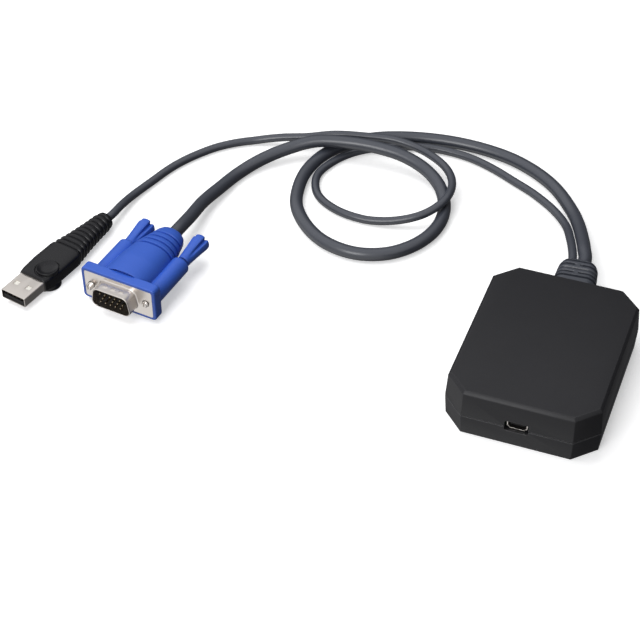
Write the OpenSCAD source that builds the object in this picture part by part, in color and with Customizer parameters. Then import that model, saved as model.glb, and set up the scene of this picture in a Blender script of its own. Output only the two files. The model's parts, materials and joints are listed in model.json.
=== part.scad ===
// A crash cart adapter. A small eight-sided case has one device socket in its front wall.
// Two fixed leads leave a ribbed boot in its back wall. One ends in a video plug, the other in a host plug.
// Z is up, the socket faces -Y and the boot faces +Y.
// The origin is on the table, under the middle of the case.

/* [Case] */
// Width over the side walls at the seam
case_w = 59; // [56:0.5:66]
// Depth from the socket wall to the boot wall at the seam
case_d = 76; // [74:0.5:84]
// Height of the closed case
case_h = 20.2; // [18.5:0.1:26]
// Length cut from each wall at a corner
corner = 8.5; // [6:0.1:10]
// Height of the seam between the covers
seam_z = 8.8; // [8.4:0.1:9.4]
// How far the top cover's walls lean in
top_draft = 0.7; // [0.3:0.1:1.2]
// How far the bottom cover's walls lean in
bottom_draft = 0.5; // [0.2:0.1:1]
// Width of the bevel around the top
bevel = 1.2; // [0.6:0.1:1.6]
// Thickness of the walls
wall = 2.2; // [1.8:0.1:2.6]
// Thickness of the roof
roof = 2; // [1.6:0.1:3]
// Thickness of the floor
floor_t = 2.2; // [1.8:0.1:2.6]
// Width and depth of the fine groove along the seam
seam_groove = 0.3; // [0.1:0.05:0.5]
// Height of the locating tongue on the bottom cover
tongue_h = 1.6; // [1:0.1:2.2]
// Thickness of the locating tongue
tongue_t = 1; // [0.7:0.1:1.2]
// Clearance around the locating tongue
tongue_fit = 0.1; // [0.05:0.05:0.2]

/* [Case screws] */
// Distance from a side wall's face to the screws
screw_from_side = 9; // [8.5:0.5:10.5]
// Distance from an end wall's face to the screws
screw_from_end = 12; // [11:0.5:14]
// Radius of the screw thread
screw_r = 1.3; // [1:0.05:1.4]
// Radius of the screw head
screw_head_r = 2.3; // [2:0.1:2.5]
// Height of the screw head
screw_head_h = 1.6; // [1.2:0.1:2]
// Length of the screw under its head
screw_l = 12; // [10:0.5:13]
// Radius of the bosses in the bottom cover
boss_r = 4; // [3.8:0.1:4.4]
// Radius of the posts in the top cover
post_r = 3.2; // [2.8:0.1:3.6]

/* [Circuit board] */
// Thickness of the board
board_t = 1.6; // [1:0.1:2]
// Gap between the board's edge and the walls
board_gap = 0.5; // [0.3:0.1:1]
// Side of the square video processor
processor_w = 17; // [12:0.5:20]
// Height of the video processor
processor_h = 1.7; // [1:0.1:2.4]
// Width of the memory chip
memory_w = 9; // [7:0.5:10]
// Length of the memory chip
memory_l = 12; // [9:0.5:13]
// Side of the square bridge chip
bridge_w = 7; // [5:0.5:8]
// Height of the memory and bridge chips
chip_h = 1.1; // [0.8:0.1:1.6]
// Radius of the capacitors
cap_r = 2; // [1.5:0.1:2.3]
// Height of the capacitors
cap_h = 5.2; // [4:0.1:5.8]
// Length of the crystal
crystal_l = 11; // [8:0.5:12]
// Width of the crystal
crystal_w = 4.6; // [3.6:0.1:5]
// Height of the crystal
crystal_h = 3.4; // [2:0.1:4]

/* [Device socket] */
// Height of the socket's middle
port_z = 9.3; // [9.1:0.1:9.6]
// Width of the socket's shell
socket_w = 7.7; // [7.4:0.1:8]
// Height of the socket's shell
socket_h = 3.9; // [3.7:0.1:4.1]
// Length of the socket's shell
socket_l = 9.2; // [8:0.1:10]
// Thickness of the socket's sheet metal
socket_t = 0.35; // [0.3:0.05:0.4]
// Length cut from each lower corner of the socket's shell
socket_cut = 1.2; // [0.8:0.1:1.4]
// How far the socket's front lies behind the widest part of the wall
socket_recess = 1.5; // [0.8:0.1:1.6]
// Gap between the shell and the edge of the opening
port_gap = 0.7; // [0.4:0.1:1]

/* [Boot] */
// Width of the boot
boot_w = 17; // [16:0.2:18]
// Height of the boot
boot_h = 10.6; // [9.8:0.1:11.2]
// Length of the boot outside the case
boot_l = 20; // [18:0.5:24]
// How far the boot's middle lies off the middle of the case, towards the video cord's side
boot_shift = 0.6; // [0:0.1:0.8]
// Radius of the boot's long edges
boot_edge = 4.2; // [3:0.1:4.6]
// Radius of the boot's tip corners, seen from above
boot_tip = 3.2; // [2:0.1:3.2]
// Radius of the boot's tip edges above and below
boot_tip_edge = 2.4; // [1:0.1:2.4]
// Angle at which the boot leans towards the host cord's side
boot_lean = 4; // [0:0.5:6]
// Width of each groove
boot_groove = 1; // [0.7:0.1:1.2]
// Depth of each groove
boot_groove_depth = 0.9; // [0.4:0.1:1.2]
// Width of the bridges across the second and fourth grooves
boot_bridge = 2.2; // [1.6:0.2:4]
// How far the flange inside the case stands out all around
boot_flange = 1.4; // [0.8:0.1:1.8]
// Thickness of the flange inside the case
boot_flange_t = 2; // [1.4:0.1:2.4]

/* [Cords] */
// Diameter of the video cord
vga_cord_d = 5.5; // [5:0.1:5.8]
// Diameter of the host cord
usb_cord_d = 3.5; // [3:0.1:3.8]
// Gap between the two cords where they leave the boot
cord_gap = 0.3; // [0.3:0.1:1]

/* [Video plug] */
// Width of the hood's front rim
hood_w = 34; // [33:0.2:37]
// Height of the hood's front rim
hood_h = 15.2; // [14.4:0.1:17]
// Depth of the hood's front block
hood_block = 4.7; // [4.2:0.1:6]
// Length of the hood from the front to the cord
hood_l = 41; // [37:0.5:46]
// Radius of the corners of the front block
hood_corner = 1.8; // [1:0.1:2.5]
// Width of the barrel at the front block
barrel_w = 22.4; // [20:0.2:24]
// Height of the barrel's crown at the front block
barrel_h = 17.8; // [17.2:0.2:19]
// Width of each groove around the barrel
hood_groove = 1; // [0.6:0.1:1.4]
// Depth of each groove around the barrel
hood_groove_depth = 0.7; // [0.3:0.1:1]
// Width of the metal flange
flange_w = 31.2; // [30.4:0.1:31.6]
// Height of the metal flange
flange_h = 12.7; // [12:0.1:13]
// Thickness of the metal flange
flange_t = 0.8; // [0.6:0.1:1.2]
// Widest inside width of the mouth
mouth_w = 16.9; // [16.5:0.1:17.3]
// Inside height of the mouth
mouth_h = 8.4; // [8.2:0.1:8.8]
// How far the mouth stands out of the flange
mouth_l = 5.9; // [5:0.1:6.5]
// Thickness of the mouth's sheet metal
mouth_t = 0.4; // [0.3:0.05:0.5]
// Inside radius of the mouth's corners
mouth_corner = 2.4; // [1.8:0.1:2.8]
// Radius of a contact pin
pin_r = 0.5; // [0.3:0.05:0.6]
// How far the pins stand out of the insulator
pin_l = 4.8; // [4:0.1:5.4]

/* [Thumbscrews] */
// Distance between the two thumbscrews
thumb_span = 25; // [24.6:0.1:25.4]
// Radius of the thread, which is all outside the flange
thread_r = 1.42; // [1.2:0.01:1.5]
// Clearance between a thumbscrew's shank and its bore
thumb_fit = 0.08; // [0.03:0.01:0.1]
// How far the left thumbscrew stands out of the flange
left_out = 2.6; // [1:0.1:4]
// How far the right thumbscrew stands out of the flange
right_out = 1.2; // [1:0.1:4]
// Outside radius of the sleeves around the thumbscrews
sleeve_r = 3.9; // [3.4:0.1:4.2]
// Length of the sleeves from the front of the hood
sleeve_l = 26.5; // [23:0.5:28]
// Length of a knob
knob_l = 14.6; // [12:0.2:18]
// Radius of a knob at its wide end
knob_r = 3.8; // [3.5:0.1:4.4]
// Radius of a knob at its narrow end
knob_neck_r = 3.2; // [2.8:0.1:3.6]

/* [Host plug] */
// Width of the plug's metal shell
shell_w = 12; // [11.6:0.1:12.4]
// Height of the plug's metal shell
shell_h = 4.5; // [4.3:0.1:4.7]
// Length of the shell outside the grip
shell_l = 11.9; // [11:0.1:13]
// Thickness of the shell's sheet metal
shell_t = 0.3; // [0.25:0.05:0.4]
// Side of the square windows in the shell
window_w = 2.3; // [1.8:0.1:2.6]
// Distance between the windows
window_span = 6; // [5.4:0.1:6.4]
// Length of the grip, with its ribbed tail
grip_l = 48; // [44:0.5:56]
// Width of the grip
grip_w = 15.2; // [14.6:0.2:17]
// Height of the grip
grip_h = 7; // [6.6:0.1:7.8]
// Radius of the round thumb rest
rest_r = 4.9; // [4:0.1:5.4]
// How far the thumb rest is off the grip's middle line
rest_x = 2.9; // [0:0.1:3.1]
// Height of the thumb rests from top to bottom
rest_h = 8.8; // [8:0.1:9.6]
// Depth of the dish in each thumb rest
dish = 0.8; // [0.4:0.1:1]
// Width of each groove in the tail
tail_groove = 1.1; // [0.7:0.1:1.3]
// Depth of each groove in the tail
tail_groove_depth = 0.9; // [0.3:0.1:1]

/* [Hidden] */
$fn = 48;

// One overrun serves every cut
cut = 1;

// Places and sizes that follow from the case
cavity_inset = wall + max(top_draft, bottom_draft);
cavity_back = case_d / 2 - cavity_inset;
roof_z = case_h - roof;
board_top = port_z - socket_h / 2;
board_z = board_top - board_t;
board_back = cavity_back - boot_flange_t - 2 * board_gap;
head_seat_z = screw_head_h + seam_groove;
screw_fit = 0.2;
shoulder = 1.2;
diagonal_half = (case_w / 2 + case_d / 2 - corner) / sqrt(2);
big = 2 * (case_w + case_d);

// Parts on the board. Places are shares of half the board's width and of half the case's depth.
processor_share = [0, -0.08];
memory_share = [0.55, -0.2];
bridge_share = [-0.1, -0.52];
crystal_share = [-0.55, -0.42];
cap_shares = [[-0.6, 0.1], [-0.6, 0.3], [0.62, 0.22]];
header_w = 8;
header_h = 3.6;
header_l = 5;
lead_plug_l = 4;
header_back = board_back - lead_plug_l;
host_header_share = 0.62;
header_shift_share = 0.18;
chamfer_share = 2 - sqrt(2);

// Socket
socket_front = socket_recess - case_d / 2;
port_corner = 0.9;
socket_tongue_t = 1;
socket_tongue_share = 0.7;
socket_pin_w = 0.4;
socket_pin_t = 0.15;
socket_pitch = 0.8;

// Cords where they leave the boot
vga_exit_x = (usb_cord_d + cord_gap) / 2;
usb_exit_x = -(vga_cord_d + cord_gap) / 2;
boot_grooves = 5;
boot_pitch_share = 0.121;
boot_first_share = 0.39;
neck_inset = 1.2;

// The plugs lie on the table at the ends of their cords
vga_place = [-166.5, -20];
vga_turn = -7.5;
vga_axis_z = barrel_h / 2;
usb_place = [-207.1, -32];
usb_turn = -13;
usb_axis_z = rest_h / 2;

// Routes of the cords. Each point is x, y and the height of the cord's underside above the table.
vga_route = [
    [-1.6, 69, 5.7], [-3.9, 76, 4.5], [-8.5, 88, 2.2], [-14, 98.5, 0.5], [-23, 110, 0], [-33, 118, 0],
    [-45, 124, 0], [-57, 127, 0], [-70, 128, 0], [-83, 127, 0], [-96, 124, 0], [-108, 119, 0],
    [-118, 111, 0], [-125, 100, 0], [-128, 87, 0], [-127, 74, 0], [-123, 62, 0], [-114, 51, 0],
    [-103, 44, 0], [-90, 42, 0], [-78, 46, 0], [-69, 55, 0], [-64, 67, 0], [-64, 80, 0],
    [-69, 92, 1.5], [-78, 100, 3.5], [-90, 104, 5.5], [-103, 105, 6.2], [-116, 104, 6.2],
    [-129, 101, 5.6], [-140, 95, 3], [-149, 86, 1], [-155, 75, 0], [-158, 62, 1], [-160, 49, 2.7],
    [-160, 36, 4.8]
];
usb_route = [
    [-6, 67, 6.5], [-9, 76, 4.8], [-13.5, 87, 2.2], [-21, 97, 0.5], [-31, 105, 0], [-42, 111, 0],
    [-54, 117, 0], [-66, 121, 0], [-79, 122, 0], [-91, 120, 0], [-103, 115, 0], [-113, 108, 0],
    [-120, 98, 0], [-123, 86, 0], [-118, 74, 0], [-107, 67, 0], [-94, 65, 0], [-81, 67, 1.5],
    [-70, 72, 4.4], [-64, 82, 6.4], [-65, 94, 6.2], [-72, 105, 5.2], [-84, 112, 5.4], [-97, 114, 6.2],
    [-110, 112, 6.4], [-123, 109, 6.2], [-135, 106, 4], [-147, 104, 2], [-159, 100, 0], [-170, 92, 0],
    [-178, 82, 0], [-184, 71, 0], [-188.2, 58, 0.2], [-191.3, 46, 0.9], [-192.4, 37, 2]
];
vga_sides = 12;
usb_sides = 8;
vga_rings = 35;
usb_rings = 43;

// Video plug
barrel_from = hood_block - 0.8;
barrel_stations = [0, 0.3, 0.6, 0.93, 0.975, 1];
barrel_w_shares = [1, 0.95, 0.84, 0.58, 0.5, 0.36];
barrel_h_shares = [1, 0.95, 0.83, 0.57, 0.5, 0.38];
barrel_square_shares = [2.3, 2.3, 2.3, 2.1, 2.1, 2.1];
barrel_front_shares = [0, 0.18, 0.37];
barrel_end_shares = [0.95, 0.975, 0.99, 1];
hood_grooves = 4;
hood_groove_pitch_share = 0.086;
hood_groove_first_share = 0.575;
loft_sides = 32;
mouth_angle = 10;
corner_steps = 8;
mouth_dimple_r = 0.9;
mouth_dimple_span = 4.1;
insulator_front = -0.6;
insulator_l = 6;
pin_pitch = 2.29;
pin_row = 1.98;
pin_rows = 3;
pins_in_row = 5;
pin_key = [1, 1];

// Thumbscrews
thumb_back_gap = 0.3;
tip_slot = 0.7;
tip_slot_depth = 0.8;
shank_share = 0.85;
shank_r = thread_r * shank_share;
bore_r = shank_r + thumb_fit;
shank_in_knob_share = 0.6;
knob_flutes = 4;
flute_r = 0.9;
flute_tilt = 4;
knob_chamfer = 0.5;

// Host plug
grip_from = shell_l;
grip_end = shell_l + grip_l;
window_y_share = 0.52;
shell_in = 5;
shell_corner = 0.5;
usb_tongue_t = 1.9;
usb_tongue_back = 0.5;
contact_w = 1;
contact_t = 0.2;
contact_l_share = 0.62;
contact_pitch = 2.5;
contact_inner_pitch = 2;
rest_share = 0.13;
tail_grooves = 10;
tail_first_share = 0.46;
tail_pitch_share = 0.0525;
grip_stations = [0, 0.06, 0.2, 0.42, 0.6, 0.78, 0.93, 0.975, 1];
grip_w_shares = [0.86, 0.92, 1, 0.99, 0.8, 0.66, 0.57, 0.46, 0.28];
grip_h_shares = [0.96, 1, 1, 1.04, 1.2, 1.2, 1.15, 1, 0.64];
grip_square_shares = [5, 5, 5, 4.4, 2.6, 2.2, 2.1, 2.1, 2.1];
grip_front_shares = [0, 0.06, 0.2, 0.42];
grip_end_shares = [0.965, 0.985, 1];

// Colours
case_black = "#2b2b2d";
cord_grey = "#474b55";
plug_blue = "#2850b8";
nickel = "#cfcbc6";
plug_black = "#1c1c1f";
gold = "#d9b45a";
board_green = "#1f5a3a";
chip_black = "#222426";
header_white = "#e8e4d8";
steel = "#9a9ca0";

// Helpers

// Corners of the case outline, drawn in by an inset
function outline(inset) =
    let (w = case_w / 2 - inset, d = case_d / 2 - inset, c = corner - inset * chamfer_share)
    [[-w, c - d], [c - w, -d], [w - c, -d], [w, c - d], [w, d - c], [w - c, d], [c - w, d], [-w, d - c]];

// One cross-section of the case's outside, swept through the whole case
module wall_pair(half) {
    side = [
        [half - bottom_draft, 0],
        [half, seam_z],
        [half - top_draft, case_h - bevel],
        [half - top_draft - bevel, case_h]
    ];
    mirrored = [for (i = [len(side) - 1 : -1 : 0]) [-side[i][0], side[i][1]]];
    rotate([90, 0, 0])
        linear_extrude(big, center = true)
            polygon(concat(side, mirrored));
}

// The closed case without its hollow
module case_form() {
    intersection() {
        wall_pair(case_w / 2);
        rotate(90) wall_pair(case_d / 2);
        rotate(45) wall_pair(diagonal_half);
        rotate(-45) wall_pair(diagonal_half);
    }
}

// A slab of the case's inside, drawn in by an inset
module prism(inset, from, to) {
    translate([0, 0, from])
        linear_extrude(to - from)
            polygon(outline(inset));
}

// Everything between two heights
module layer(from, to) {
    translate([-big / 2, -big / 2, from])
        cube([big, big, to - from]);
}

// A flat rectangle with round corners, centred
module round_rect(w, h, r) {
    square([w - 2 * r, h], center = true);
    square([w, h - 2 * r], center = true);
    for (x = [-1, 1])
        for (y = [-1, 1])
            translate([x * (w / 2 - r), y * (h / 2 - r)])
                circle(r);
}

// A bar along Y from one place to another, with a round-cornered section in X and Z
module bar(w, h, r, from, to) {
    translate([0, to, 0])
        rotate([90, 0, 0])
            linear_extrude(to - from)
                round_rect(w, h, r);
}

// A box centred in X, from one Y to another and from one Z to another
module block(w, y0, y1, z0, z1) {
    translate([-w / 2, y0, z0])
        cube([w, y1 - y0, z1 - z0]);
}

// A round bar along Y
module rod(r, from, to) {
    translate([0, from, 0])
        rotate([-90, 0, 0])
            cylinder(r = r, h = to - from);
}

// The four places of the case screws
module at_screws() {
    for (x = [-1, 1])
        for (y = [-1, 1])
            translate([x * (case_w / 2 - screw_from_side), y * (case_d / 2 - screw_from_end), 0])
                children();
}

// The opening in the front wall, around the socket
module port_opening() {
    translate([0, 0, port_z])
        bar(
            socket_w + 2 * port_gap, socket_h + port_gap, port_corner,
            -case_d / 2 - cut, -case_d / 2 + cavity_inset + cut
        );
}

// The boot's neck, from the inside of the back wall to a place along Y
module boot_neck(to) {
    translate([boot_shift, 0, seam_z])
        bar(
            boot_w - 2 * neck_inset, boot_h - 2 * neck_inset, boot_edge - neck_inset / 2,
            cavity_back, to
        );
}

// The groove that runs around the case along the seam
module seam_cut() {
    difference() {
        layer(seam_z - seam_groove / 2, seam_z + seam_groove / 2);
        prism(seam_groove, seam_z - seam_groove, seam_z + seam_groove);
    }
}

// Points of a section with width 2a and height 2b. Squareness 2 is an ellipse, more is boxier.
function section(a, b, square, sides) = [
    for (k = [0 : sides - 1])
        let (t = 360 * k / sides, c = cos(t), s = sin(t))
        [sign(c) * a * pow(abs(c), 2 / square), sign(s) * b * pow(abs(s), 2 / square)]
];

// A closed skin over rings of equally many points
module skin(rings) {
    sides = len(rings[0]);
    last = len(rings) - 1;
    points = [for (ring = rings) each ring];
    walls = [
        for (i = [0 : last - 1])
            for (k = [0 : sides - 1])
                let (a = i * sides + k, b = i * sides + (k + 1) % sides, c = a + sides, d = b + sides)
                each [[a, b, c], [b, d, c]]
    ];
    front = [for (k = [sides - 1 : -1 : 0]) k];
    back = [for (k = [0 : sides - 1]) last * sides + k];
    polyhedron(points, concat([front], walls, [back]));
}

// Value at a place along a form, read between its stations
function at_station(stations, values, t) =
    lookup(t, [for (i = [0 : len(stations) - 1]) [stations[i], values[i]]]);

// Places and depths of the rings that draw a row of grooves, as pairs of place and depth
function groove_rings(first, pitch, count, width, depth) = [
    for (i = [0 : count - 1])
        let (y = first + i * pitch)
        each [[y - width / 2, 0], [y - width / 4, depth], [y + width / 4, depth], [y + width / 2, 0]]
];

// A moulded form along Y. Stations and shares give its width, height and squareness.
module moulded(from, to, width, height, stations, w_shares, h_shares, square_shares, rings, sides) {
    skin([
        for (ring = rings)
            let (
                t = (ring[0] - from) / (to - from),
                a = width * at_station(stations, w_shares, t) / 2 - ring[1],
                b = height * at_station(stations, h_shares, t) / 2 - ring[1],
                n = at_station(stations, square_shares, t)
            )
            [for (p = section(a, b, n, sides)) [p[0], ring[0], p[1]]]
    ]);
}

// Places the plugs on the table
module at_vga() {
    translate([vga_place[0], vga_place[1], vga_axis_z])
        rotate(vga_turn)
            children();
}

module at_usb() {
    translate([usb_place[0], usb_place[1], usb_axis_z])
        rotate(usb_turn)
            children();
}

function turned(p, angle) = [
    p[0] * cos(angle) - p[1] * sin(angle),
    p[0] * sin(angle) + p[1] * cos(angle),
    p[2]
];

// Places the boot, which leans a little, at the back wall
module at_boot() {
    translate([boot_shift, case_d / 2, seam_z])
        rotate(boot_lean)
            children();
}

function boot_point(x, y) = turned([x, y, 0], boot_lean) + [0, case_d / 2, seam_z];
function vga_point(y) = turned([0, y, 0], vga_turn) + [vga_place[0], vga_place[1], vga_axis_z];
function usb_point(y) = turned([0, y, 0], usb_turn) + [usb_place[0], usb_place[1], usb_axis_z];

// A cord's whole line: straight out of the boot, along its route, and straight into its plug
function cord_line(x, d, route, plug_end, plug_lead) =
    concat(
        [boot_point(x, boot_l), boot_point(x, boot_l + d)],
        [for (p = route) [p[0], p[1], p[2] + d / 2]],
        [plug_lead, plug_end]
    );

// A point on a smooth curve through a list of points, at a share of the way along it
function on_curve(line, share) =
    let (
        last = len(line) - 1,
        t = min(share * last, last - 0.000001),
        i = floor(t),
        f = t - i,
        b = line[i],
        c = line[i + 1],
        a = i > 0 ? line[i - 1] : 2 * b - c,
        e = i + 2 <= last ? line[i + 2] : 2 * c - b
    )
    (2 * b + (c - a) * f + (2 * a - 5 * b + 4 * c - e) * f * f + (3 * b - a - 3 * c + e) * f * f * f) / 2;

function unit(v) = v / norm(v);

// A cord swept along its line, never lower than the table
module cord(line, d, sides, rings) {
    near_share = 0.001;
    skin([
        for (i = [0 : rings])
            let (
                share = i / rings,
                p = on_curve(line, share),
                ahead = on_curve(line, min(share + near_share, 1)),
                behind = on_curve(line, max(share - near_share, 0)),
                along = i == 0 ? unit(line[1] - line[0])
                    : i == rings ? unit(line[len(line) - 1] - line[len(line) - 2])
                    : unit(ahead - behind),
                side = unit(cross(along, [0, 0, 1])),
                up = cross(side, along),
                centre = [p[0], p[1], max(p[2], d / 2)]
            )
            [
                for (k = [0 : sides - 1])
                    let (t = 360 * (k + 0.5) / sides)
                    centre + side * cos(t) * d / 2 + up * sin(t) * d / 2
            ]
    ]);
}

// Case

module bottom_cover() {
    color(case_black)
        difference() {
            union() {
                difference() {
                    intersection() {
                        case_form();
                        layer(0, seam_z);
                    }
                    prism(cavity_inset, floor_t, seam_z + cut);
                }
                difference() {
                    prism(cavity_inset - tongue_t, seam_z - cut, seam_z + tongue_h);
                    prism(cavity_inset, seam_z - 2 * cut, seam_z + tongue_h + cut);
                }
                at_screws() {
                    cylinder(r = boss_r, h = seam_z);
                    cylinder(r = boss_r + shoulder, h = board_z);
                }
            }
            at_screws() {
                translate([0, 0, -cut])
                    cylinder(r = screw_head_r + 2 * screw_fit, h = head_seat_z + cut);
                cylinder(r = screw_r + screw_fit, h = seam_z + cut);
            }
            port_opening();
            translate([0, -cut, 0]) boot_neck(case_d / 2 + 2 * cut);
            seam_cut();
        }
}

module top_cover() {
    color(case_black)
        difference() {
            union() {
                difference() {
                    intersection() {
                        case_form();
                        layer(seam_z, case_h);
                    }
                    prism(cavity_inset, seam_z - cut, roof_z);
                    prism(
                        cavity_inset - tongue_t - tongue_fit,
                        seam_z - cut, seam_z + tongue_h + tongue_fit
                    );
                }
                at_screws()
                    translate([0, 0, seam_z])
                        cylinder(r = post_r, h = case_h - roof / 2 - seam_z);
            }
            at_screws()
                translate([0, 0, seam_z - cut])
                    cylinder(r = screw_r, h = head_seat_z + screw_l + 2 * screw_fit - seam_z + cut);
            port_opening();
            translate([0, -cut, 0]) boot_neck(case_d / 2 + 2 * cut);
            seam_cut();
        }
}

module case_screws() {
    color(steel)
        at_screws()
            difference() {
                union() {
                    translate([0, 0, head_seat_z - screw_head_h])
                        cylinder(r = screw_head_r, h = screw_head_h);
                    translate([0, 0, head_seat_z])
                        cylinder(r = screw_r, h = screw_l - screw_r);
                    translate([0, 0, head_seat_z + screw_l - screw_r])
                        cylinder(r1 = screw_r, r2 = screw_r / 3, h = screw_r);
                }
                for (turn = [0, 90])
                    rotate(turn)
                        translate([-screw_head_r / 2, -screw_head_r / 8, head_seat_z - screw_head_h - cut])
                            cube([screw_head_r, screw_head_r / 4, screw_head_h / 2 + cut]);
            }
}

// Electronics

module circuit_board() {
    color(board_green)
        difference() {
            prism(cavity_inset + board_gap, board_z, board_top);
            translate([-big / 2, board_back, board_z - cut])
                cube([big, big, board_t + 2 * cut]);
            at_screws()
                translate([0, 0, board_z - cut])
                    cylinder(r = boss_r + 2 * screw_fit, h = board_t + 2 * cut);
        }
}

// Puts a part on the board at a share of the way out from the middle
module on_board(share) {
    translate([share[0] * case_w / 2, share[1] * case_d / 2, board_top])
        children();
}

// A chip: a square body with a bevelled lid and a dot in one corner
module chip(w, l, h) {
    lid = h / 3;
    difference() {
        union() {
            translate([-w / 2, -l / 2, 0])
                cube([w, l, h - lid]);
            translate([lid - w / 2, lid - l / 2, 0])
                cube([w - 2 * lid, l - 2 * lid, h]);
        }
        translate([2.5 * lid - w / 2, 2.5 * lid - l / 2, h - lid / 2])
            cylinder(r = lid, h = lid + cut);
    }
}

module video_processor() {
    color(chip_black)
        on_board(processor_share)
            chip(processor_w, processor_w, processor_h);
}

module memory_chip() {
    color(chip_black)
        on_board(memory_share)
            chip(memory_w, memory_l, chip_h);
}

module bridge_chip() {
    color(chip_black)
        on_board(bridge_share)
            chip(bridge_w, bridge_w, chip_h);
}

// A can with round ends on a thin base
module crystal() {
    rim = crystal_h / 8;
    color(nickel)
        on_board(crystal_share) {
            linear_extrude(rim)
                round_rect(crystal_w, crystal_l, crystal_w / 2 - rim / 8);
            linear_extrude(crystal_h)
                round_rect(crystal_w - 2 * rim, crystal_l - 2 * rim, crystal_w / 2 - rim - rim / 8);
        }
}

// Cans that stand on square bases
module capacitors() {
    base = cap_h / 6;
    color(nickel)
        for (share = cap_shares)
            on_board(share) {
                translate([-cap_r, -cap_r, 0])
                    cube([2 * cap_r, 2 * cap_r, base]);
                cylinder(r = cap_r, h = cap_h);
            }
}

// A board header, open towards the back, with the lead's plug pushed into it
module header(x, w) {
    rim = header_h / 6;
    color(header_white)
        translate([x, 0, 0])
            difference() {
                block(w, header_back - header_l, header_back, board_top, board_top + header_h);
                block(
                    w - 2 * rim, header_back - header_l + rim, header_back + cut,
                    board_top + rim, board_top + header_h - rim
                );
            }
}

// A bundle of wires that ends in a plug
module lead(x, w, r) {
    rim = header_h / 6;
    gap = rim / 4;
    color(cord_grey)
        translate([x, 0, 0])
            union() {
                block(
                    w - 2 * rim - 2 * gap, header_back - header_l + rim + gap, header_back + rim,
                    board_top + rim + gap, board_top + header_h - rim - gap
                );
                translate([0, 0, max(seam_z, board_top + r + gap)])
                    rod(r, header_back, cavity_back - boot_flange_t);
            }
}

module video_header() {
    header(vga_exit_x + header_w * header_shift_share, header_w);
}

module host_header() {
    header(usb_exit_x - header_w * header_shift_share, header_w * host_header_share);
}

module video_lead() {
    lead(vga_exit_x + header_w * header_shift_share, header_w, vga_cord_d / 4);
}

module host_lead() {
    lead(usb_exit_x - header_w * header_shift_share, header_w * host_header_share, usb_cord_d / 4);
}

// Device socket

// A bar with the socket's outline, whose lower corners are cut away, drawn in by an inset
module socket_bar(inset, from, to) {
    w = socket_w / 2 - inset;
    h = socket_h / 2 - inset;
    c = socket_cut - inset * chamfer_share;
    translate([0, to, 0])
        rotate([90, 0, 0])
            linear_extrude(to - from)
                polygon([[-w, h], [-w, c - h], [c - w, -h], [w - c, -h], [w, c - h], [w, h]]);
}

module socket_shell() {
    color(nickel)
        translate([0, 0, port_z])
            difference() {
                socket_bar(0, socket_front, socket_front + socket_l);
                socket_bar(socket_t, socket_front - cut, socket_front + socket_l - socket_t);
            }
}

module socket_tongue() {
    back = socket_front + socket_l - socket_t;
    color(plug_black)
        translate([0, 0, port_z]) {
            socket_bar(socket_t, back - socket_l / 4, back);
            block(
                socket_w * socket_tongue_share, socket_front + 2 * socket_t, back - socket_t,
                -socket_tongue_t / 2, socket_tongue_t / 2
            );
        }
}

module socket_contacts() {
    color(gold)
        for (i = [-2 : 2])
            translate([i * socket_pitch, 0, port_z + socket_tongue_t / 2])
                block(
                    socket_pin_w, socket_front + 4 * socket_t, socket_front + socket_l * 3 / 4 - socket_t,
                    0, socket_pin_t
                );
}

// Boot

// The boot's outside, drawn in by an inset. It starts inside the back wall.
module boot_form(inset) {
    long = boot_l + cut;
    middle = boot_l - inset - long / 2;
    intersection() {
        bar(boot_w - 2 * inset, boot_h - 2 * inset, boot_edge - inset, -cut, boot_l - inset);
        translate([0, middle, -boot_h])
            linear_extrude(2 * boot_h)
                round_rect(boot_w - 2 * inset, long, boot_tip - inset);
        translate([-boot_w, middle, 0])
            rotate([90, 0, 90])
                linear_extrude(2 * boot_w)
                    round_rect(long, boot_h - 2 * inset, boot_tip_edge - inset);
    }
}

// One groove around the boot. Every other one stops short of the middle, above and below.
module boot_ring(i) {
    y = boot_l * (boot_first_share + i * boot_pitch_share);
    difference() {
        block(2 * boot_w, y - boot_groove / 2, y + boot_groove / 2, -boot_h, boot_h);
        boot_form(boot_groove_depth);
        if (i % 2 == 1)
            block(boot_bridge, y - boot_groove, y + boot_groove, -boot_h, boot_h);
    }
}

module case_boot() {
    color(cord_grey) {
        difference() {
            at_boot() boot_form(0);
            case_form();
            at_boot()
                for (i = [0 : boot_grooves - 1])
                    boot_ring(i);
        }
        boot_neck(case_d / 2);
        translate([boot_shift, 0, seam_z])
            bar(
                boot_w - 2 * neck_inset + 2 * boot_flange, boot_h - 2 * neck_inset + 2 * boot_flange,
                boot_edge, cavity_back - boot_flange_t, cavity_back
            );
    }
}

// Cords

module vga_cord() {
    color(cord_grey)
        cord(
            cord_line(vga_exit_x, vga_cord_d, vga_route, vga_point(hood_l), vga_point(hood_l + vga_cord_d)),
            vga_cord_d, vga_sides, vga_rings
        );
}

module usb_cord() {
    color(cord_grey)
        cord(
            cord_line(
                usb_exit_x, usb_cord_d, usb_route, usb_point(grip_end), usb_point(grip_end + usb_cord_d)
            ),
            usb_cord_d, usb_sides, usb_rings
        );
}

// Video plug

// Outline of the mouth, widest at the bottom, with round corners, grown by an amount
function mouth_outline(grow) =
    let (
        r = mouth_corner + grow,
        h = mouth_h / 2 - mouth_corner,
        bottom = mouth_w / 2 - mouth_corner,
        top = bottom - 2 * h * tan(mouth_angle),
        corners = [
            [bottom, -h, -90, mouth_angle],
            [top, h, mouth_angle, 90],
            [-top, h, 90, 180 - mouth_angle],
            [-bottom, -h, 180 - mouth_angle, 270]
        ]
    )
    [
        for (c = corners)
            for (k = [0 : corner_steps])
                let (t = c[2] + (c[3] - c[2]) * k / corner_steps)
                [c[0] + r * cos(t), c[1] + r * sin(t)]
    ];

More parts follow.
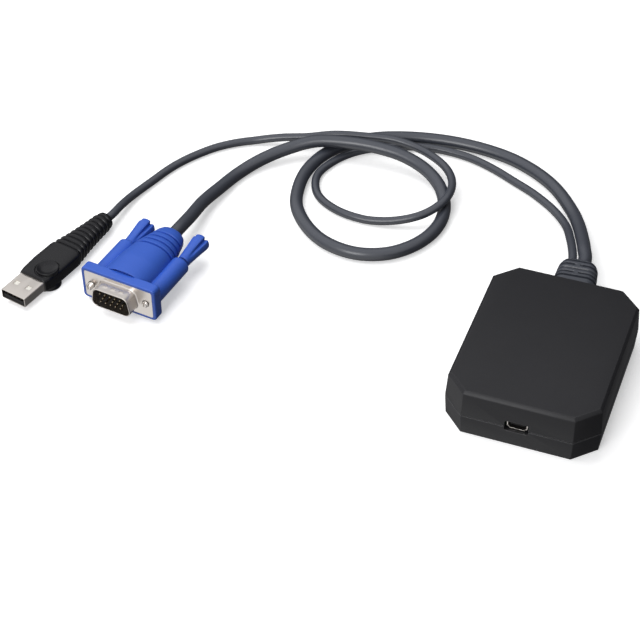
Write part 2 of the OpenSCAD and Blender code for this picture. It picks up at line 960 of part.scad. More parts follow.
// The mouth's outline pulled out along Y
module mouth_bar(grow, from, to) {
    translate([0, to, 0])
        rotate([90, 0, 0])
            linear_extrude(to - from)
                polygon(mouth_outline(grow));
}

module at_thumbscrews() {
    for (x = [-1, 1])
        translate([x * thumb_span / 2, 0, 0])
            children();
}

module vga_hood() {
    barrel_l = hood_l - barrel_from;
    rings = concat(
        [for (share = barrel_front_shares) [barrel_from + share * barrel_l, 0]],
        groove_rings(
            barrel_from + hood_groove_first_share * barrel_l, hood_groove_pitch_share * barrel_l,
            hood_grooves, hood_groove, hood_groove_depth
        ),
        [for (share = barrel_end_shares) [barrel_from + share * barrel_l, 0]]
    );
    color(plug_blue)
        at_vga()
            difference() {
                union() {
                    bar(hood_w, hood_h, hood_corner, 0, hood_block);
                    moulded(
                        barrel_from, hood_l, barrel_w, barrel_h, barrel_stations,
                        barrel_w_shares, barrel_h_shares, barrel_square_shares, rings, loft_sides
                    );
                    at_thumbscrews()
                        rod(sleeve_r, hood_block / 2, sleeve_l);
                }
                bar(flange_w, flange_h, hood_corner / 2, -cut, flange_t);
                mouth_bar(mouth_t, 0, insulator_l);
                at_thumbscrews()
                    rod(bore_r, -cut, sleeve_l + cut);
            }
}

module vga_shell() {
    color(nickel)
        at_vga()
            difference() {
                union() {
                    bar(flange_w, flange_h, hood_corner / 2, 0, flange_t);
                    mouth_bar(mouth_t, -mouth_l, flange_t);
                    for (i = [-1 : 1])
                        translate([i * mouth_dimple_span, -mouth_l / 2, mouth_h / 2 + mouth_t / 2])
                            sphere(mouth_dimple_r);
                }
                mouth_bar(0, -mouth_l - cut, flange_t + cut);
                at_thumbscrews()
                    rod(bore_r, -cut, flange_t + cut);
            }
}

module vga_insulator() {
    color(plug_black)
        at_vga()
            difference() {
                mouth_bar(0, insulator_front, insulator_l);
                vga_pin_set(insulator_l + 2 * cut);
            }
}

// Rows of pins, the middle row half a pitch over, and one place left out
module vga_pin_set(back) {
    for (row = [0 : pin_rows - 1])
        for (i = [0 : pins_in_row - 1])
            if ([row, i] != pin_key)
                translate([
                    (i - (pins_in_row - 1) / 2 + (row == 1 ? 1 / 4 : -1 / 4)) * pin_pitch,
                    0,
                    (1 - row) * pin_row
                ])
                    rod(pin_r, insulator_front - pin_l, back);
}

module vga_pins() {
    color(gold)
        at_vga()
            vga_pin_set(insulator_l);
}

// A slotted screw, its shank held in a knob. The tip stands out of the flange.
module thumb_screw(out) {
    back = sleeve_l + thumb_back_gap + left_out - out + knob_l * shank_in_knob_share;
    difference() {
        union() {
            rod(thread_r, -out, 0);
            rod(shank_r, -out, back);
        }
        block(tip_slot, -out - cut, tip_slot_depth - out, -2 * thread_r, 2 * thread_r);
    }
}

// A flared grip with flutes that deepen towards its end
module thumb_knob(out) {
    front = sleeve_l + thumb_back_gap + left_out - out;
    translate([0, front, 0])
        rotate([-90, 0, 0])
            difference() {
                union() {
                    cylinder(r1 = knob_neck_r, r2 = knob_r, h = knob_l - knob_chamfer);
                    translate([0, 0, knob_l - knob_chamfer])
                        cylinder(r1 = knob_r, r2 = knob_r - knob_chamfer, h = knob_chamfer);
                }
                for (i = [0 : knob_flutes - 1])
                    rotate(45 + i * 360 / knob_flutes)
                        translate([knob_r, 0, knob_l])
                            rotate([0, 180 + flute_tilt, 0])
                                translate([0, 0, -cut])
                                    cylinder(r = flute_r, h = knob_l + 2 * cut);
                translate([0, 0, -cut])
                    cylinder(r = shank_r, h = knob_l * shank_in_knob_share + cut);
            }
}

module left_screw() {
    color(nickel)
        at_vga()
            translate([-thumb_span / 2, 0, 0])
                thumb_screw(left_out);
}

module right_screw() {
    color(nickel)
        at_vga()
            translate([thumb_span / 2, 0, 0])
                thumb_screw(right_out);
}

module left_knob() {
    color(plug_blue)
        at_vga()
            translate([-thumb_span / 2, 0, 0])
                thumb_knob(left_out);
}

module right_knob() {
    color(plug_blue)
        at_vga()
            translate([thumb_span / 2, 0, 0])
                thumb_knob(right_out);
}

// Host plug

module usb_grip() {
    rings = concat(
        [for (share = grip_front_shares) [grip_from + share * grip_l, 0]],
        groove_rings(
            grip_from + tail_first_share * grip_l, tail_pitch_share * grip_l,
            tail_grooves, tail_groove, tail_groove_depth
        ),
        [for (share = grip_end_shares) [grip_from + share * grip_l, 0]]
    );
    dish_r = (rest_r * rest_r + dish * dish) / (2 * dish);
    color(plug_black)
        at_usb()
            difference() {
                union() {
                    moulded(
                        grip_from, grip_end, grip_w, grip_h, grip_stations,
                        grip_w_shares, grip_h_shares, grip_square_shares, rings, loft_sides
                    );
                    translate([rest_x, grip_from + rest_share * grip_l, -rest_h / 2])
                        cylinder(r = rest_r, h = rest_h);
                }
                for (z = [-1, 1])
                    translate([rest_x, grip_from + rest_share * grip_l, z * (rest_h / 2 + dish_r - dish)])
                        sphere(dish_r);
                bar(shell_w, shell_h, shell_corner, grip_from - cut, grip_from + shell_in);
            }
}

module usb_shell() {
    color(nickel)
        at_usb()
            difference() {
                bar(shell_w, shell_h, shell_corner, 0, shell_l + shell_in);
                bar(
                    shell_w - 2 * shell_t, shell_h - 2 * shell_t, shell_corner - shell_t,
                    -cut, shell_l + shell_in - shell_t
                );
                for (x = [-1, 1])
                    translate([x * window_span / 2, shell_l * window_y_share, -shell_h])
                        translate([-window_w / 2, -window_w / 2, 0])
                            cube([window_w, window_w, 2 * shell_h]);
            }
}

module usb_tongue() {
    floor_z = shell_t - shell_h / 2;
    inner_w = shell_w - 2 * shell_t;
    color(plug_black)
        at_usb() {
            block(
                inner_w - 2 * shell_corner, usb_tongue_back, shell_l + shell_in - shell_t,
                floor_z, floor_z + usb_tongue_t
            );
            bar(
                inner_w, shell_h - 2 * shell_t, shell_corner - shell_t,
                shell_l, shell_l + shell_in - shell_t
            );
        }
}

module usb_contacts() {
    top = shell_t - shell_h / 2 + usb_tongue_t;
    places = [-contact_inner_pitch / 2 - contact_pitch, -contact_inner_pitch / 2,
        contact_inner_pitch / 2, contact_inner_pitch / 2 + contact_pitch];
    color(gold)
        at_usb()
            for (x = places)
                translate([x, 0, 0])
                    block(
                        contact_w, 2 * usb_tongue_back, shell_l * contact_l_share + 2 * usb_tongue_back,
                        top, top + contact_t
                    );
}

bottom_cover();
top_cover();
case_screws();
circuit_board();
video_processor();
memory_chip();
bridge_chip();
crystal();
capacitors();
video_header();
host_header();
video_lead();
host_lead();
socket_shell();
socket_tongue();
socket_contacts();
case_boot();
vga_cord();
usb_cord();
vga_hood();
vga_shell();
vga_insulator();
vga_pins();
left_screw();
left_knob();
right_screw();
right_knob();
usb_grip();
usb_shell();
usb_tongue();
usb_contacts();
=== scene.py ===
"""Looks of the crash cart adapter: camera, cords, detailed pieces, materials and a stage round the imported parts."""

import json
import math

import bpy
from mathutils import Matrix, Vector


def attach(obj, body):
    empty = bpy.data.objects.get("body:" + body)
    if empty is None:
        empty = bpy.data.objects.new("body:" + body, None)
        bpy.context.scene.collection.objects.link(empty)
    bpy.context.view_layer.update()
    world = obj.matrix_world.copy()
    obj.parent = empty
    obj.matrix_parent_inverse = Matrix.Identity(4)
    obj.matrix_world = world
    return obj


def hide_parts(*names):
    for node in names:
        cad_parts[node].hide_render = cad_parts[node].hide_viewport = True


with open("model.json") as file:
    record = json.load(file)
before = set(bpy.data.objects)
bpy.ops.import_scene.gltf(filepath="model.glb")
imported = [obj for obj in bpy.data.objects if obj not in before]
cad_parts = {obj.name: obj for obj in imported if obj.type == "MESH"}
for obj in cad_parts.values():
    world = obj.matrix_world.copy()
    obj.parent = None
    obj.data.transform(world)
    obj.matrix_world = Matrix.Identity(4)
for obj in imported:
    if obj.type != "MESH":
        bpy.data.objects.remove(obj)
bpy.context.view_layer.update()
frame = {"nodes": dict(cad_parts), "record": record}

bl_info = {
    "name": "Crash Cart Adapter",
    "version": (1, 0, 0),
    "blender": (4, 5, 0),
    "location": "View3D > Sidebar > Adapter",
    "description": "Models the detailed pieces of a crash cart adapter round its packed parts",
    "category": "Object",
}

MM = 0.001
CORD_SIDES = 24

# Where the plugs lie: x, y and height in millimetres, and the turn about Z in degrees
VGA_PLACE, VGA_TURN = (-166.5, -20.0, 8.9), -7.5
USB_PLACE, USB_TURN = (-207.1, -32.0, 4.4), -13.0
BOOT_PLACE, BOOT_LEAN = (0.0, 38.0, 8.8), 4.0

# Sizes of the forms, in millimetres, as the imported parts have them. Stations are shares of a length
RING_GAP, RING_SIDES = 0.12, 96

# Case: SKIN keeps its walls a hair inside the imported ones
CASE_W, CASE_D, CASE_H, CORNER, SEAM = 59.0, 76.0, 20.2, 8.5, 8.8
TOP_DRAFT, BOTTOM_DRAFT, BEVEL, WALL, ROOF, FLOOR_T = 0.7, 0.5, 1.2, 2.2, 2.0, 2.2
INNER = WALL + max(TOP_DRAFT, BOTTOM_DRAFT)
GROOVE, EDGE_ROUND, SKIN = 0.45, 0.16, 0.02
PORT_Z, SOCKET_W, SOCKET_H, PORT_GAP, PORT_CORNER = 9.3, 7.7, 3.9, 0.7, 0.9
SCREW_AT, SCREW_HOLE_R, SCREW_HOLE_H = (20.5, 26.0), 2.7, 1.9

# Boot: every other groove stops short of its middle, and both ends of its outline are rounded off
BOOT_W, BOOT_H, BOOT_L, BOOT_EDGE, BOOT_SHIFT = 17.0, 10.6, 20.0, 4.2, 0.6
NECK_IN, BOOT_FLANGE, BOOT_FLANGE_T = 1.2, 1.4, 2.0
NECK_W, NECK_H, NECK_EDGE = BOOT_W - 2 * NECK_IN, BOOT_H - 2 * NECK_IN, BOOT_EDGE - NECK_IN / 2
BOOT_START, BOOT_TAPER, BOOT_TAPER_FROM, BOOT_TAPER_L = -0.25, 0.6, 8, 9
BOOT_NOSE_L, BOOT_NOSE_W, BOOT_BROW_L, BOOT_BROW_H = 5, 5.4, 3, 4.4
BOOT_GROOVES = [BOOT_L * (0.39 + 0.121 * i) for i in range(5)]
BOOT_GROOVE_W, BOOT_GROOVE_DEEP, BOOT_BRIDGE, BOOT_BRIDGE_END = 1.3, 1.2, 0.8, 0.5

# Video plug
HOOD_W, HOOD_H, HOOD_BLOCK, HOOD_L, HOOD_CORNER = 34.0, 15.2, 4.7, 41.0, 1.8
HOOD_VOXEL, HOOD_SMOOTHING = 0.27, 3
BARREL_FROM, BARREL_W, BARREL_H = 3.9, 22.4, 17.8
BARREL_L = HOOD_L - BARREL_FROM
BARREL_STATIONS = (0, 0.3, 0.6, 0.93, 0.975, 1)
BARREL_WIDE = (1, 0.95, 0.84, 0.58, 0.5, 0.36)
BARREL_HIGH = (1, 0.95, 0.83, 0.57, 0.5, 0.38)
BARREL_SQUARE = (2.3, 2.3, 2.3, 2.1, 2.1, 2.1)
BARREL_SKIN, BARREL_LIP = 0.12, 0.15
BARREL_UNDERCUT = ((5.4, 0.8), (5.0, 0.86), (4.2, 0.97))
BARREL_GROOVES = [BARREL_FROM + BARREL_L * (0.575 + 0.086 * i) for i in range(4)]
BARREL_GROOVE_W, BARREL_GROOVE_DEEP = 1.3, 1.25
CORE_FROM, CORE_TO, CORE_SINK, CORE_SINK_FROM, CORE_SINK_L = 5.3, 30, 1.2, 14, 8
FLANGE_W, FLANGE_H, FLANGE_T, FLANGE_CORNER = 31.2, 12.7, 0.8, 0.9
MOUTH_W, MOUTH_H, MOUTH_L, MOUTH_T, MOUTH_CORNER, MOUTH_ANGLE = 16.9, 8.4, 5.9, 0.4, 2.4, 10
MOUTH_ARC, MOUTH_SIDES = 10, (12, 48, 12, 48)
MOUTH_LIP = ((0.1, MOUTH_T - 0.04), (0.0, MOUTH_T - 0.14), (0.0, 0.12), (0.1, 0.02), (1.5, 0.0))
ROOT_FILLET, DIMPLE_GAP, DIMPLE_W, DIMPLE_L, DIMPLE_DEEP, DIMPLE_FORWARD = 0.6, 3.7, 1.45, 0.85, 0.45, 0.3
PIN_PITCH, PIN_ROW, PIN_KEY = 2.29, 1.98, (1, 1)
PIN_PROFILE = (
    (6.0, 0.5), (-0.6, 0.5), (-0.75, 0.38), (-4.6, 0.38), (-4.95, 0.36), (-5.2, 0.28), (-5.35, 0.16), (-5.4, 0.04),
)
THUMB_SPAN, SHANK_R, BORE_R, LEFT_OUT, RIGHT_OUT = 25.0, 1.207, 1.55, 2.6, 1.2
THREAD_R, THREAD_PITCH, THREAD_DEEP, THREAD_SIDES = 1.42, 0.635, 0.36, 32
TIP_IN, TIP_L, SLOT_W, SLOT_DEEP = 0.45, 0.5, 0.7, 0.8
SLEEVE_R, SLEEVE_L, SLEEVE_EDGE, KNOB_GAP = 3.9, 26.5, 0.4, 0.3
KNOB_L, KNOB_R, KNOB_NECK_R, KNOB_SIDES = 14.6, 3.8, 2.6, 64
KNOB_FLUTE, FLUTE_FROM, FLUTE_RUN, FLUTE_HALF_ANGLE = 1.5, 0.12, 0.75, 18
KNOB_FLARE, KNOB_CURVE = 1.15, 1.3
KNOB_NECK_ROUND, KNOB_RIM_ROUND, KNOB_RIM_L = 0.25, 0.35, 0.5

# Host plug
SHELL_W, SHELL_H, SHELL_T, SHELL_CORNER = 12.0, 4.5, 0.3, 0.65
WINDOW_W, WINDOW_SPAN, WINDOW_Y, WINDOW_LAP = 2.3, 6.0, 6.19, 0.3
GRIP_FROM, GRIP_L, GRIP_W, GRIP_H = 11.9, 48.0, 15.2, 7.0
SHELL_END = GRIP_FROM + 5
GRIP_STATIONS = (0, 0.06, 0.2, 0.42, 0.6, 0.78, 0.93, 0.975, 1)
GRIP_WIDE = (0.86, 0.92, 1, 0.99, 0.8, 0.66, 0.57, 0.46, 0.28)
GRIP_HIGH = (0.96, 1, 1, 1.04, 1.2, 1.2, 1.15, 1, 0.64)
GRIP_SQUARE = (5, 5, 5, 4.4, 2.6, 2.2, 2.1, 2.1, 2.1)
RIB_FROM, RIB_PITCH, RIB_COUNT, RIB_DEEP = GRIP_FROM + GRIP_L * 0.46, GRIP_L * 0.0525, 10, 0.85
REST_R, REST_X, REST_Y, REST_H, REST_SIDES = 4.9, 2.9, GRIP_FROM + 0.13 * GRIP_L, 8.8, 72
DISH_R, DISH_DEEP, CREASE_R = 4.3, 1.3, 0.45
# Thumb rest: radii across its dish, and each rim as radius and drop below the top. The lower rim is wider
DISH_RADII, DISH_RIM = (0.02, 0.8, 1.6, 2.4, 3.0, 3.5, 3.9, 4.15), ((4.26, 0.01), (4.36, 0))
UPPER_RIM = ((4.5, 0.08), (4.55, 0.3), (4.55, 1.3), (REST_R - 0.75, 2.2))
LOWER_RIM = (
    (REST_R - 0.75, 2.6), (REST_R - 0.3, 1.6), (REST_R - 0.05, 1.2), (REST_R, 0.9), (REST_R, 0.3),
    (REST_R - 0.07, 0.12), (REST_R - 0.25, 0.03),
)

# Routes of the cords in metres: x, y and the height of the cord's underside above the table
VGA_ROUTE = [
    (-0.0016, 0.069, 0.0057), (-0.0039, 0.076, 0.0045), (-0.0085, 0.088, 0.0022), (-0.014, 0.0985, 0.0005),
    (-0.023, 0.11, 0), (-0.033, 0.118, 0), (-0.045, 0.124, 0), (-0.057, 0.127, 0), (-0.07, 0.128, 0),
    (-0.083, 0.127, 0), (-0.096, 0.124, 0), (-0.108, 0.119, 0), (-0.118, 0.111, 0), (-0.125, 0.1, 0),
    (-0.128, 0.087, 0), (-0.127, 0.074, 0), (-0.123, 0.062, 0), (-0.114, 0.051, 0), (-0.103, 0.044, 0),
    (-0.09, 0.042, 0), (-0.078, 0.046, 0), (-0.069, 0.055, 0), (-0.064, 0.067, 0), (-0.064, 0.08, 0),
    (-0.069, 0.092, 0.0015), (-0.078, 0.1, 0.0035), (-0.09, 0.104, 0.0055), (-0.103, 0.105, 0.0062),
    (-0.116, 0.104, 0.0062), (-0.129, 0.101, 0.0056), (-0.14, 0.095, 0.003), (-0.149, 0.086, 0.001),
    (-0.155, 0.075, 0), (-0.158, 0.062, 0.001), (-0.16, 0.049, 0.0027), (-0.16, 0.036, 0.0048),
]
USB_ROUTE = [
    (-0.006, 0.067, 0.0065), (-0.009, 0.076, 0.0048), (-0.0135, 0.087, 0.0022), (-0.021, 0.097, 0.0005),
    (-0.031, 0.105, 0), (-0.042, 0.111, 0), (-0.054, 0.117, 0), (-0.066, 0.121, 0), (-0.079, 0.122, 0),
    (-0.091, 0.12, 0), (-0.103, 0.115, 0), (-0.113, 0.108, 0), (-0.12, 0.098, 0), (-0.123, 0.086, 0),
    (-0.118, 0.074, 0), (-0.107, 0.067, 0), (-0.094, 0.065, 0), (-0.081, 0.067, 0.0015),
    (-0.07, 0.072, 0.0044), (-0.064, 0.082, 0.0064), (-0.065, 0.094, 0.0062), (-0.072, 0.105, 0.0052),
    (-0.084, 0.112, 0.0054), (-0.097, 0.114, 0.0062), (-0.11, 0.112, 0.0064), (-0.123, 0.109, 0.0062),
    (-0.135, 0.106, 0.004), (-0.147, 0.104, 0.002), (-0.159, 0.1, 0), (-0.17, 0.092, 0), (-0.178, 0.082, 0),
    (-0.184, 0.071, 0), (-0.1882, 0.058, 0.0002), (-0.1913, 0.046, 0.0009), (-0.1924, 0.037, 0.002),
]


class AdapterCordSettings(bpy.types.PropertyGroup):
    """Sizes of the two cords."""

    vga_diameter: bpy.props.FloatProperty(
        name="Video cord", description="Diameter of the video cord", default=0.0055, unit="LENGTH", subtype="DISTANCE"
    )
    usb_diameter: bpy.props.FloatProperty(
        name="Host cord", description="Diameter of the host cord", default=0.0035, unit="LENGTH", subtype="DISTANCE"
    )
    gap: bpy.props.FloatProperty(
        name="Gap", description="Gap between the cords at the boot", default=0.0003, unit="LENGTH", subtype="DISTANCE"
    )
    step: bpy.props.FloatProperty(
        name="Ring spacing", description="Distance between the rings of a cord", default=0.0015, unit="LENGTH",
        subtype="DISTANCE",
    )


class AdapterColorSettings(bpy.types.PropertyGroup):
    """Colours of the finishes that show most. Each is named for its finish."""

    case_plastic: bpy.props.FloatVectorProperty(
        name="Case", description="Colour of the case", default=(0.018, 0.018, 0.0205), min=0, max=1, subtype="COLOR"
    )
    cord_jacket: bpy.props.FloatVectorProperty(
        name="Cords and boot", description="Colour of the cords and the boot", default=(0.046, 0.051, 0.066), min=0,
        max=1, subtype="COLOR",
    )
    hood_plastic: bpy.props.FloatVectorProperty(
        name="Video plug", description="Colour of the video plug's hood and knobs", default=(0.037, 0.112, 0.53),
        min=0, max=1, subtype="COLOR",
    )
    grip_plastic: bpy.props.FloatVectorProperty(
        name="Host plug", description="Colour of the host plug's grip", default=(0.0085, 0.0085, 0.0105), min=0,
        max=1, subtype="COLOR",
    )
    nickel_plate: bpy.props.FloatVectorProperty(
        name="Plating", description="Colour of the plated shells and screws", default=(0.66, 0.62, 0.585), min=0,
        max=1, subtype="COLOR",
    )


class AdapterStageSettings(bpy.types.PropertyGroup):
    """The camera and the lights."""

    lens: bpy.props.FloatProperty(
        name="Lens", description="Focal length for a 36 mm frame", default=99.31, unit="CAMERA"
    )
    camera_at: bpy.props.FloatVectorProperty(
        name="Camera", description="Place of the camera", default=(0.091758, -0.478319, 0.466466), subtype="TRANSLATION"
    )
    camera_turn: bpy.props.FloatVectorProperty(
        name="Camera turn", description="Turn of the camera",
        default=(math.radians(47.7548), math.radians(0.391), math.radians(20.4092)), subtype="EULER",
    )
    key_power: bpy.props.FloatProperty(
        name="Key light", description="Power of the light overhead", default=8.5, unit="POWER"
    )
    fill_power: bpy.props.FloatProperty(
        name="Front light", description="Power of the light in front", default=4.4, unit="POWER"
    )
    soft_power: bpy.props.FloatProperty(
        name="Soft light", description="Strength of the light from all sides", default=0.12
    )
    floor_glow: bpy.props.FloatProperty(
        name="Floor glow", description="How much the floor's shadows are lifted, for the camera alone", default=0.45
    )


def placed_mm(place, turn, point):
    """A point given in a plug's own frame as a point in the row frame, both in millimetres."""
    a = math.radians(turn)
    x, y, z = point
    return Vector((
        place[0] + x * math.cos(a) - y * math.sin(a), place[1] + x * math.sin(a) + y * math.cos(a), place[2] + z
    ))


def placed(place, turn, point):
    """A point given in a plug's own frame, in millimetres, as a point in the row frame, in metres."""
    return placed_mm(place, turn, point) * MM


def smooth_path(points, step, floor):
    """Points a step apart on a smooth curve through the given ones, never lower than the floor."""
    line = [2 * points[0] - points[1], *points, 2 * points[-1] - points[-2]]
    out = []
    for i in range(1, len(line) - 2):
        a, b, c, d = line[i - 1 : i + 3]
        count = max(2, round((c - b).length / step))
        for k in range(count):
            t = k / count
            p = 0.5 * (2 * b + (c - a) * t + (2 * a - 5 * b + 4 * c - d) * t * t + (3 * b - a - 3 * c + d) * t**3)
            out.append(Vector((p.x, p.y, max(p.z, floor))))
    out.append(points[-1].copy())
    return out


def start_clean():
    """Nothing is selected and Blender is in object mode."""
    if bpy.context.object and bpy.context.object.mode != "OBJECT":
        bpy.ops.object.mode_set(mode="OBJECT")
    bpy.ops.object.select_all(action="DESELECT")


def only(obj):
    """Selects this object alone and makes it active."""
    start_clean()
    obj.select_set(True)
    bpy.context.view_layer.objects.active = obj
    return obj


def lofted(name, rings, loop=False, unit=MM):
    """A closed skin over rings of equally many points. Caps close its ends, or its last ring joins its first."""
    if loop:
        rings = [*rings, rings[0]]
    rows = [[*ring, ring[0]] for ring in rings]
    start_clean()
    bpy.ops.mesh.primitive_grid_add(x_subdivisions=len(rows[0]) - 1, y_subdivisions=len(rows) - 1, size=1)
    obj = bpy.context.object
    obj.name = name
    obj.data.name = name
    obj.data.vertices.foreach_set("co", [c * unit for row in rows for p in row for c in p])
    obj.data.update()
    bpy.ops.object.mode_set(mode="EDIT")
    bpy.ops.mesh.select_all(action="SELECT")
    bpy.ops.mesh.remove_doubles(threshold=1e-6)
    if not loop:
        bpy.ops.mesh.fill_holes(sides=0)
        bpy.ops.mesh.select_all(action="SELECT")
    bpy.ops.mesh.normals_make_consistent(inside=False)
    bpy.ops.object.mode_set(mode="OBJECT")
    return obj


def apply_modifier(obj, kind, **values):
    """Adds one modifier, sets it and applies it."""
    only(obj)
    modifier = obj.modifiers.new(kind, kind)
    for key, value in values.items():
        setattr(modifier, key, value)
    bpy.ops.object.modifier_apply(modifier=modifier.name)
    return obj


def cut_by(obj, *tools):
    """Takes each tool's space out of an object and deletes the tool."""
    for tool in tools:
        apply_modifier(obj, "BOOLEAN", operation="DIFFERENCE", object=tool, solver="EXACT")
        only(tool)
        bpy.ops.object.delete()
    return only(obj)


def joined(obj, *others):
    """Joins several objects into the first."""
    only(obj)
    for other in others:
        other.select_set(True)
    bpy.ops.object.join()
    return obj


def fused(obj, *others, voxel, rounds):
    """Joins closed forms into one moulded body, with soft blends where they meet."""
    joined(obj, *others)
    apply_modifier(obj, "REMESH", mode="VOXEL", voxel_size=voxel * MM, adaptivity=0)
    return apply_modifier(obj, "SMOOTH", factor=0.5, iterations=rounds)


def shade(obj, angle=40):
    """Smooth shading that keeps edges sharper than the angle."""
    only(obj)
    bpy.ops.object.shade_smooth_by_angle(angle=math.radians(angle))
    return obj


def put_down(obj, place, turn):
    """Moves a piece from its own frame to its place, and leaves its object at the origin."""
    only(obj)
    obj.location = [c * MM for c in place]
    obj.rotation_euler = (0, 0, math.radians(turn))
    bpy.ops.object.transform_apply(location=True, rotation=True, scale=True)
    return obj


def swept(name, points, diameter, sides):
    """A round cord along a path, with square ends."""
    rings = []
    for i, p in enumerate(points):
        ahead = points[min(i + 1, len(points) - 1)]
        behind = points[max(i - 1, 0)]
        along = (ahead - behind).normalized()
        side = along.cross(Vector((0, 0, 1))).normalized()
        up = side.cross(along)
        turns = [2 * math.pi * k / sides for k in range(sides)]
        rings.append([tuple(p + (side * math.cos(t) + up * math.sin(t)) * diameter / 2) for t in turns])
    return lofted(name, rings, unit=1)


def circle(y, r, count, x=0.0, z=0.0):
    """A round ring across Y."""
    turns = [2 * math.pi * k / count for k in range(count)]
    return [(x + r * math.cos(t), y, z + r * math.sin(t)) for t in turns]


def oval(y, w, h, square, count):
    """A ring across Y with a width, a height and a squareness: 2 is an ellipse, more is boxier."""
    ring = []
    for k in range(count):
        t = 2 * math.pi * k / count
        c, s = math.cos(t), math.sin(t)
        x = math.copysign(abs(c) ** (2 / square), c) * w / 2
        z = math.copysign(abs(s) ** (2 / square), s) * h / 2
        ring.append((x, y, z))
    return ring


def cornered(y, corners, r, arc, sides):
    """A ring across Y with round corners. Each corner gives its centre and its first and last angle."""
    arcs = []
    for x, z, first, last in corners:
        turns = [math.radians(first + (last - first) * k / arc) for k in range(arc + 1)]
        arcs.append([(x + r * math.cos(t), y, z + r * math.sin(t)) for t in turns])
    ring = []
    for i, points in enumerate(arcs):
        a, b = points[-1], arcs[(i + 1) % len(arcs)][0]
        count = sides[i]
        ring += points
        ring += [tuple(p + (q - p) * k / (count + 1) for p, q in zip(a, b)) for k in range(1, count + 1)]
    return ring


def rounded(y, w, h, r, arc=8, sides=(1, 1, 1, 1)):
    """A ring across Y that is a rectangle with round corners."""
    x, z = w / 2 - r, h / 2 - r
    return cornered(y, [(x, -z, -90, 0), (x, z, 0, 90), (-x, z, 90, 180), (-x, -z, 180, 270)], r, arc, sides)


def moved(ring, x, z):
    """A ring shifted sideways and up."""
    return [(a + x, y, b + z) for a, y, b in ring]


def between(stations, values, t):
    """The value at a place, read between stations."""
    for i in range(1, len(stations)):
        if t <= stations[i]:
            f = (t - stations[i - 1]) / (stations[i] - stations[i - 1])
            return values[i - 1] + (values[i] - values[i - 1]) * max(0, f)
    return values[-1]


def dent(y, places, width):
    """How deep a place lies in a row of soft grooves, from 0 to 1."""
    near = min(abs(y - place) for place in places)
    return math.cos(math.pi / 2 * near / (width / 2)) ** 2 if near < width / 2 else 0.0


def steps(first, last, gap):
    """Evenly spaced places from one to another, about a gap apart."""
    count = max(1, round(abs(last - first) / gap))
    return [first + (last - first) * k / count for k in range(count + 1)]


def box(name, x, y, z, soft=0.0):
    """A box between two places on each axis, in millimetres, with softened edges."""
    start_clean()
    middle = [(a + b) / 2 * MM for a, b in (x, y, z)]
    bpy.ops.mesh.primitive_cube_add(size=1, location=middle, scale=[abs(b - a) * MM for a, b in (x, y, z)])
    obj = bpy.context.object
    obj.name = name
    bpy.ops.object.transform_apply(location=True, rotation=True, scale=True)
    if soft:
        apply_modifier(obj, "BEVEL", width=soft * MM, segments=3, limit_method="NONE")
    return obj


# Materials


def empty_tree(owner):
    """The emptied node tree of a material or a world."""
    owner.use_nodes = True
    owner.node_tree.nodes.clear()
    return owner.node_tree


def add_node(tree, kind, sockets=None, **settings):
    """Adds a node. A socket gets a value, or a link where the value is another node's output."""
    node = tree.nodes.new(kind)
    for name, value in settings.items():
        setattr(node, name, value)
    for socket, value in (sockets or {}).items():
        if isinstance(value, bpy.types.NodeSocket):
            tree.links.new(value, node.inputs[socket])
        else:
            node.inputs[socket].default_value = value
    return node


def calculated(tree, operation, *values):
    """The outcome of a maths node over numbers and other nodes' outputs."""
    return add_node(tree, "ShaderNodeMath", dict(enumerate(values)), operation=operation).outputs[0]


def mixed_shader(tree, share, first, second):
    """The first shader where the share is 0, and the second where it is 1."""
    return add_node(tree, "ShaderNodeMixShader", {"Fac": share, 1: first.outputs[0], 2: second.outputs[0]})


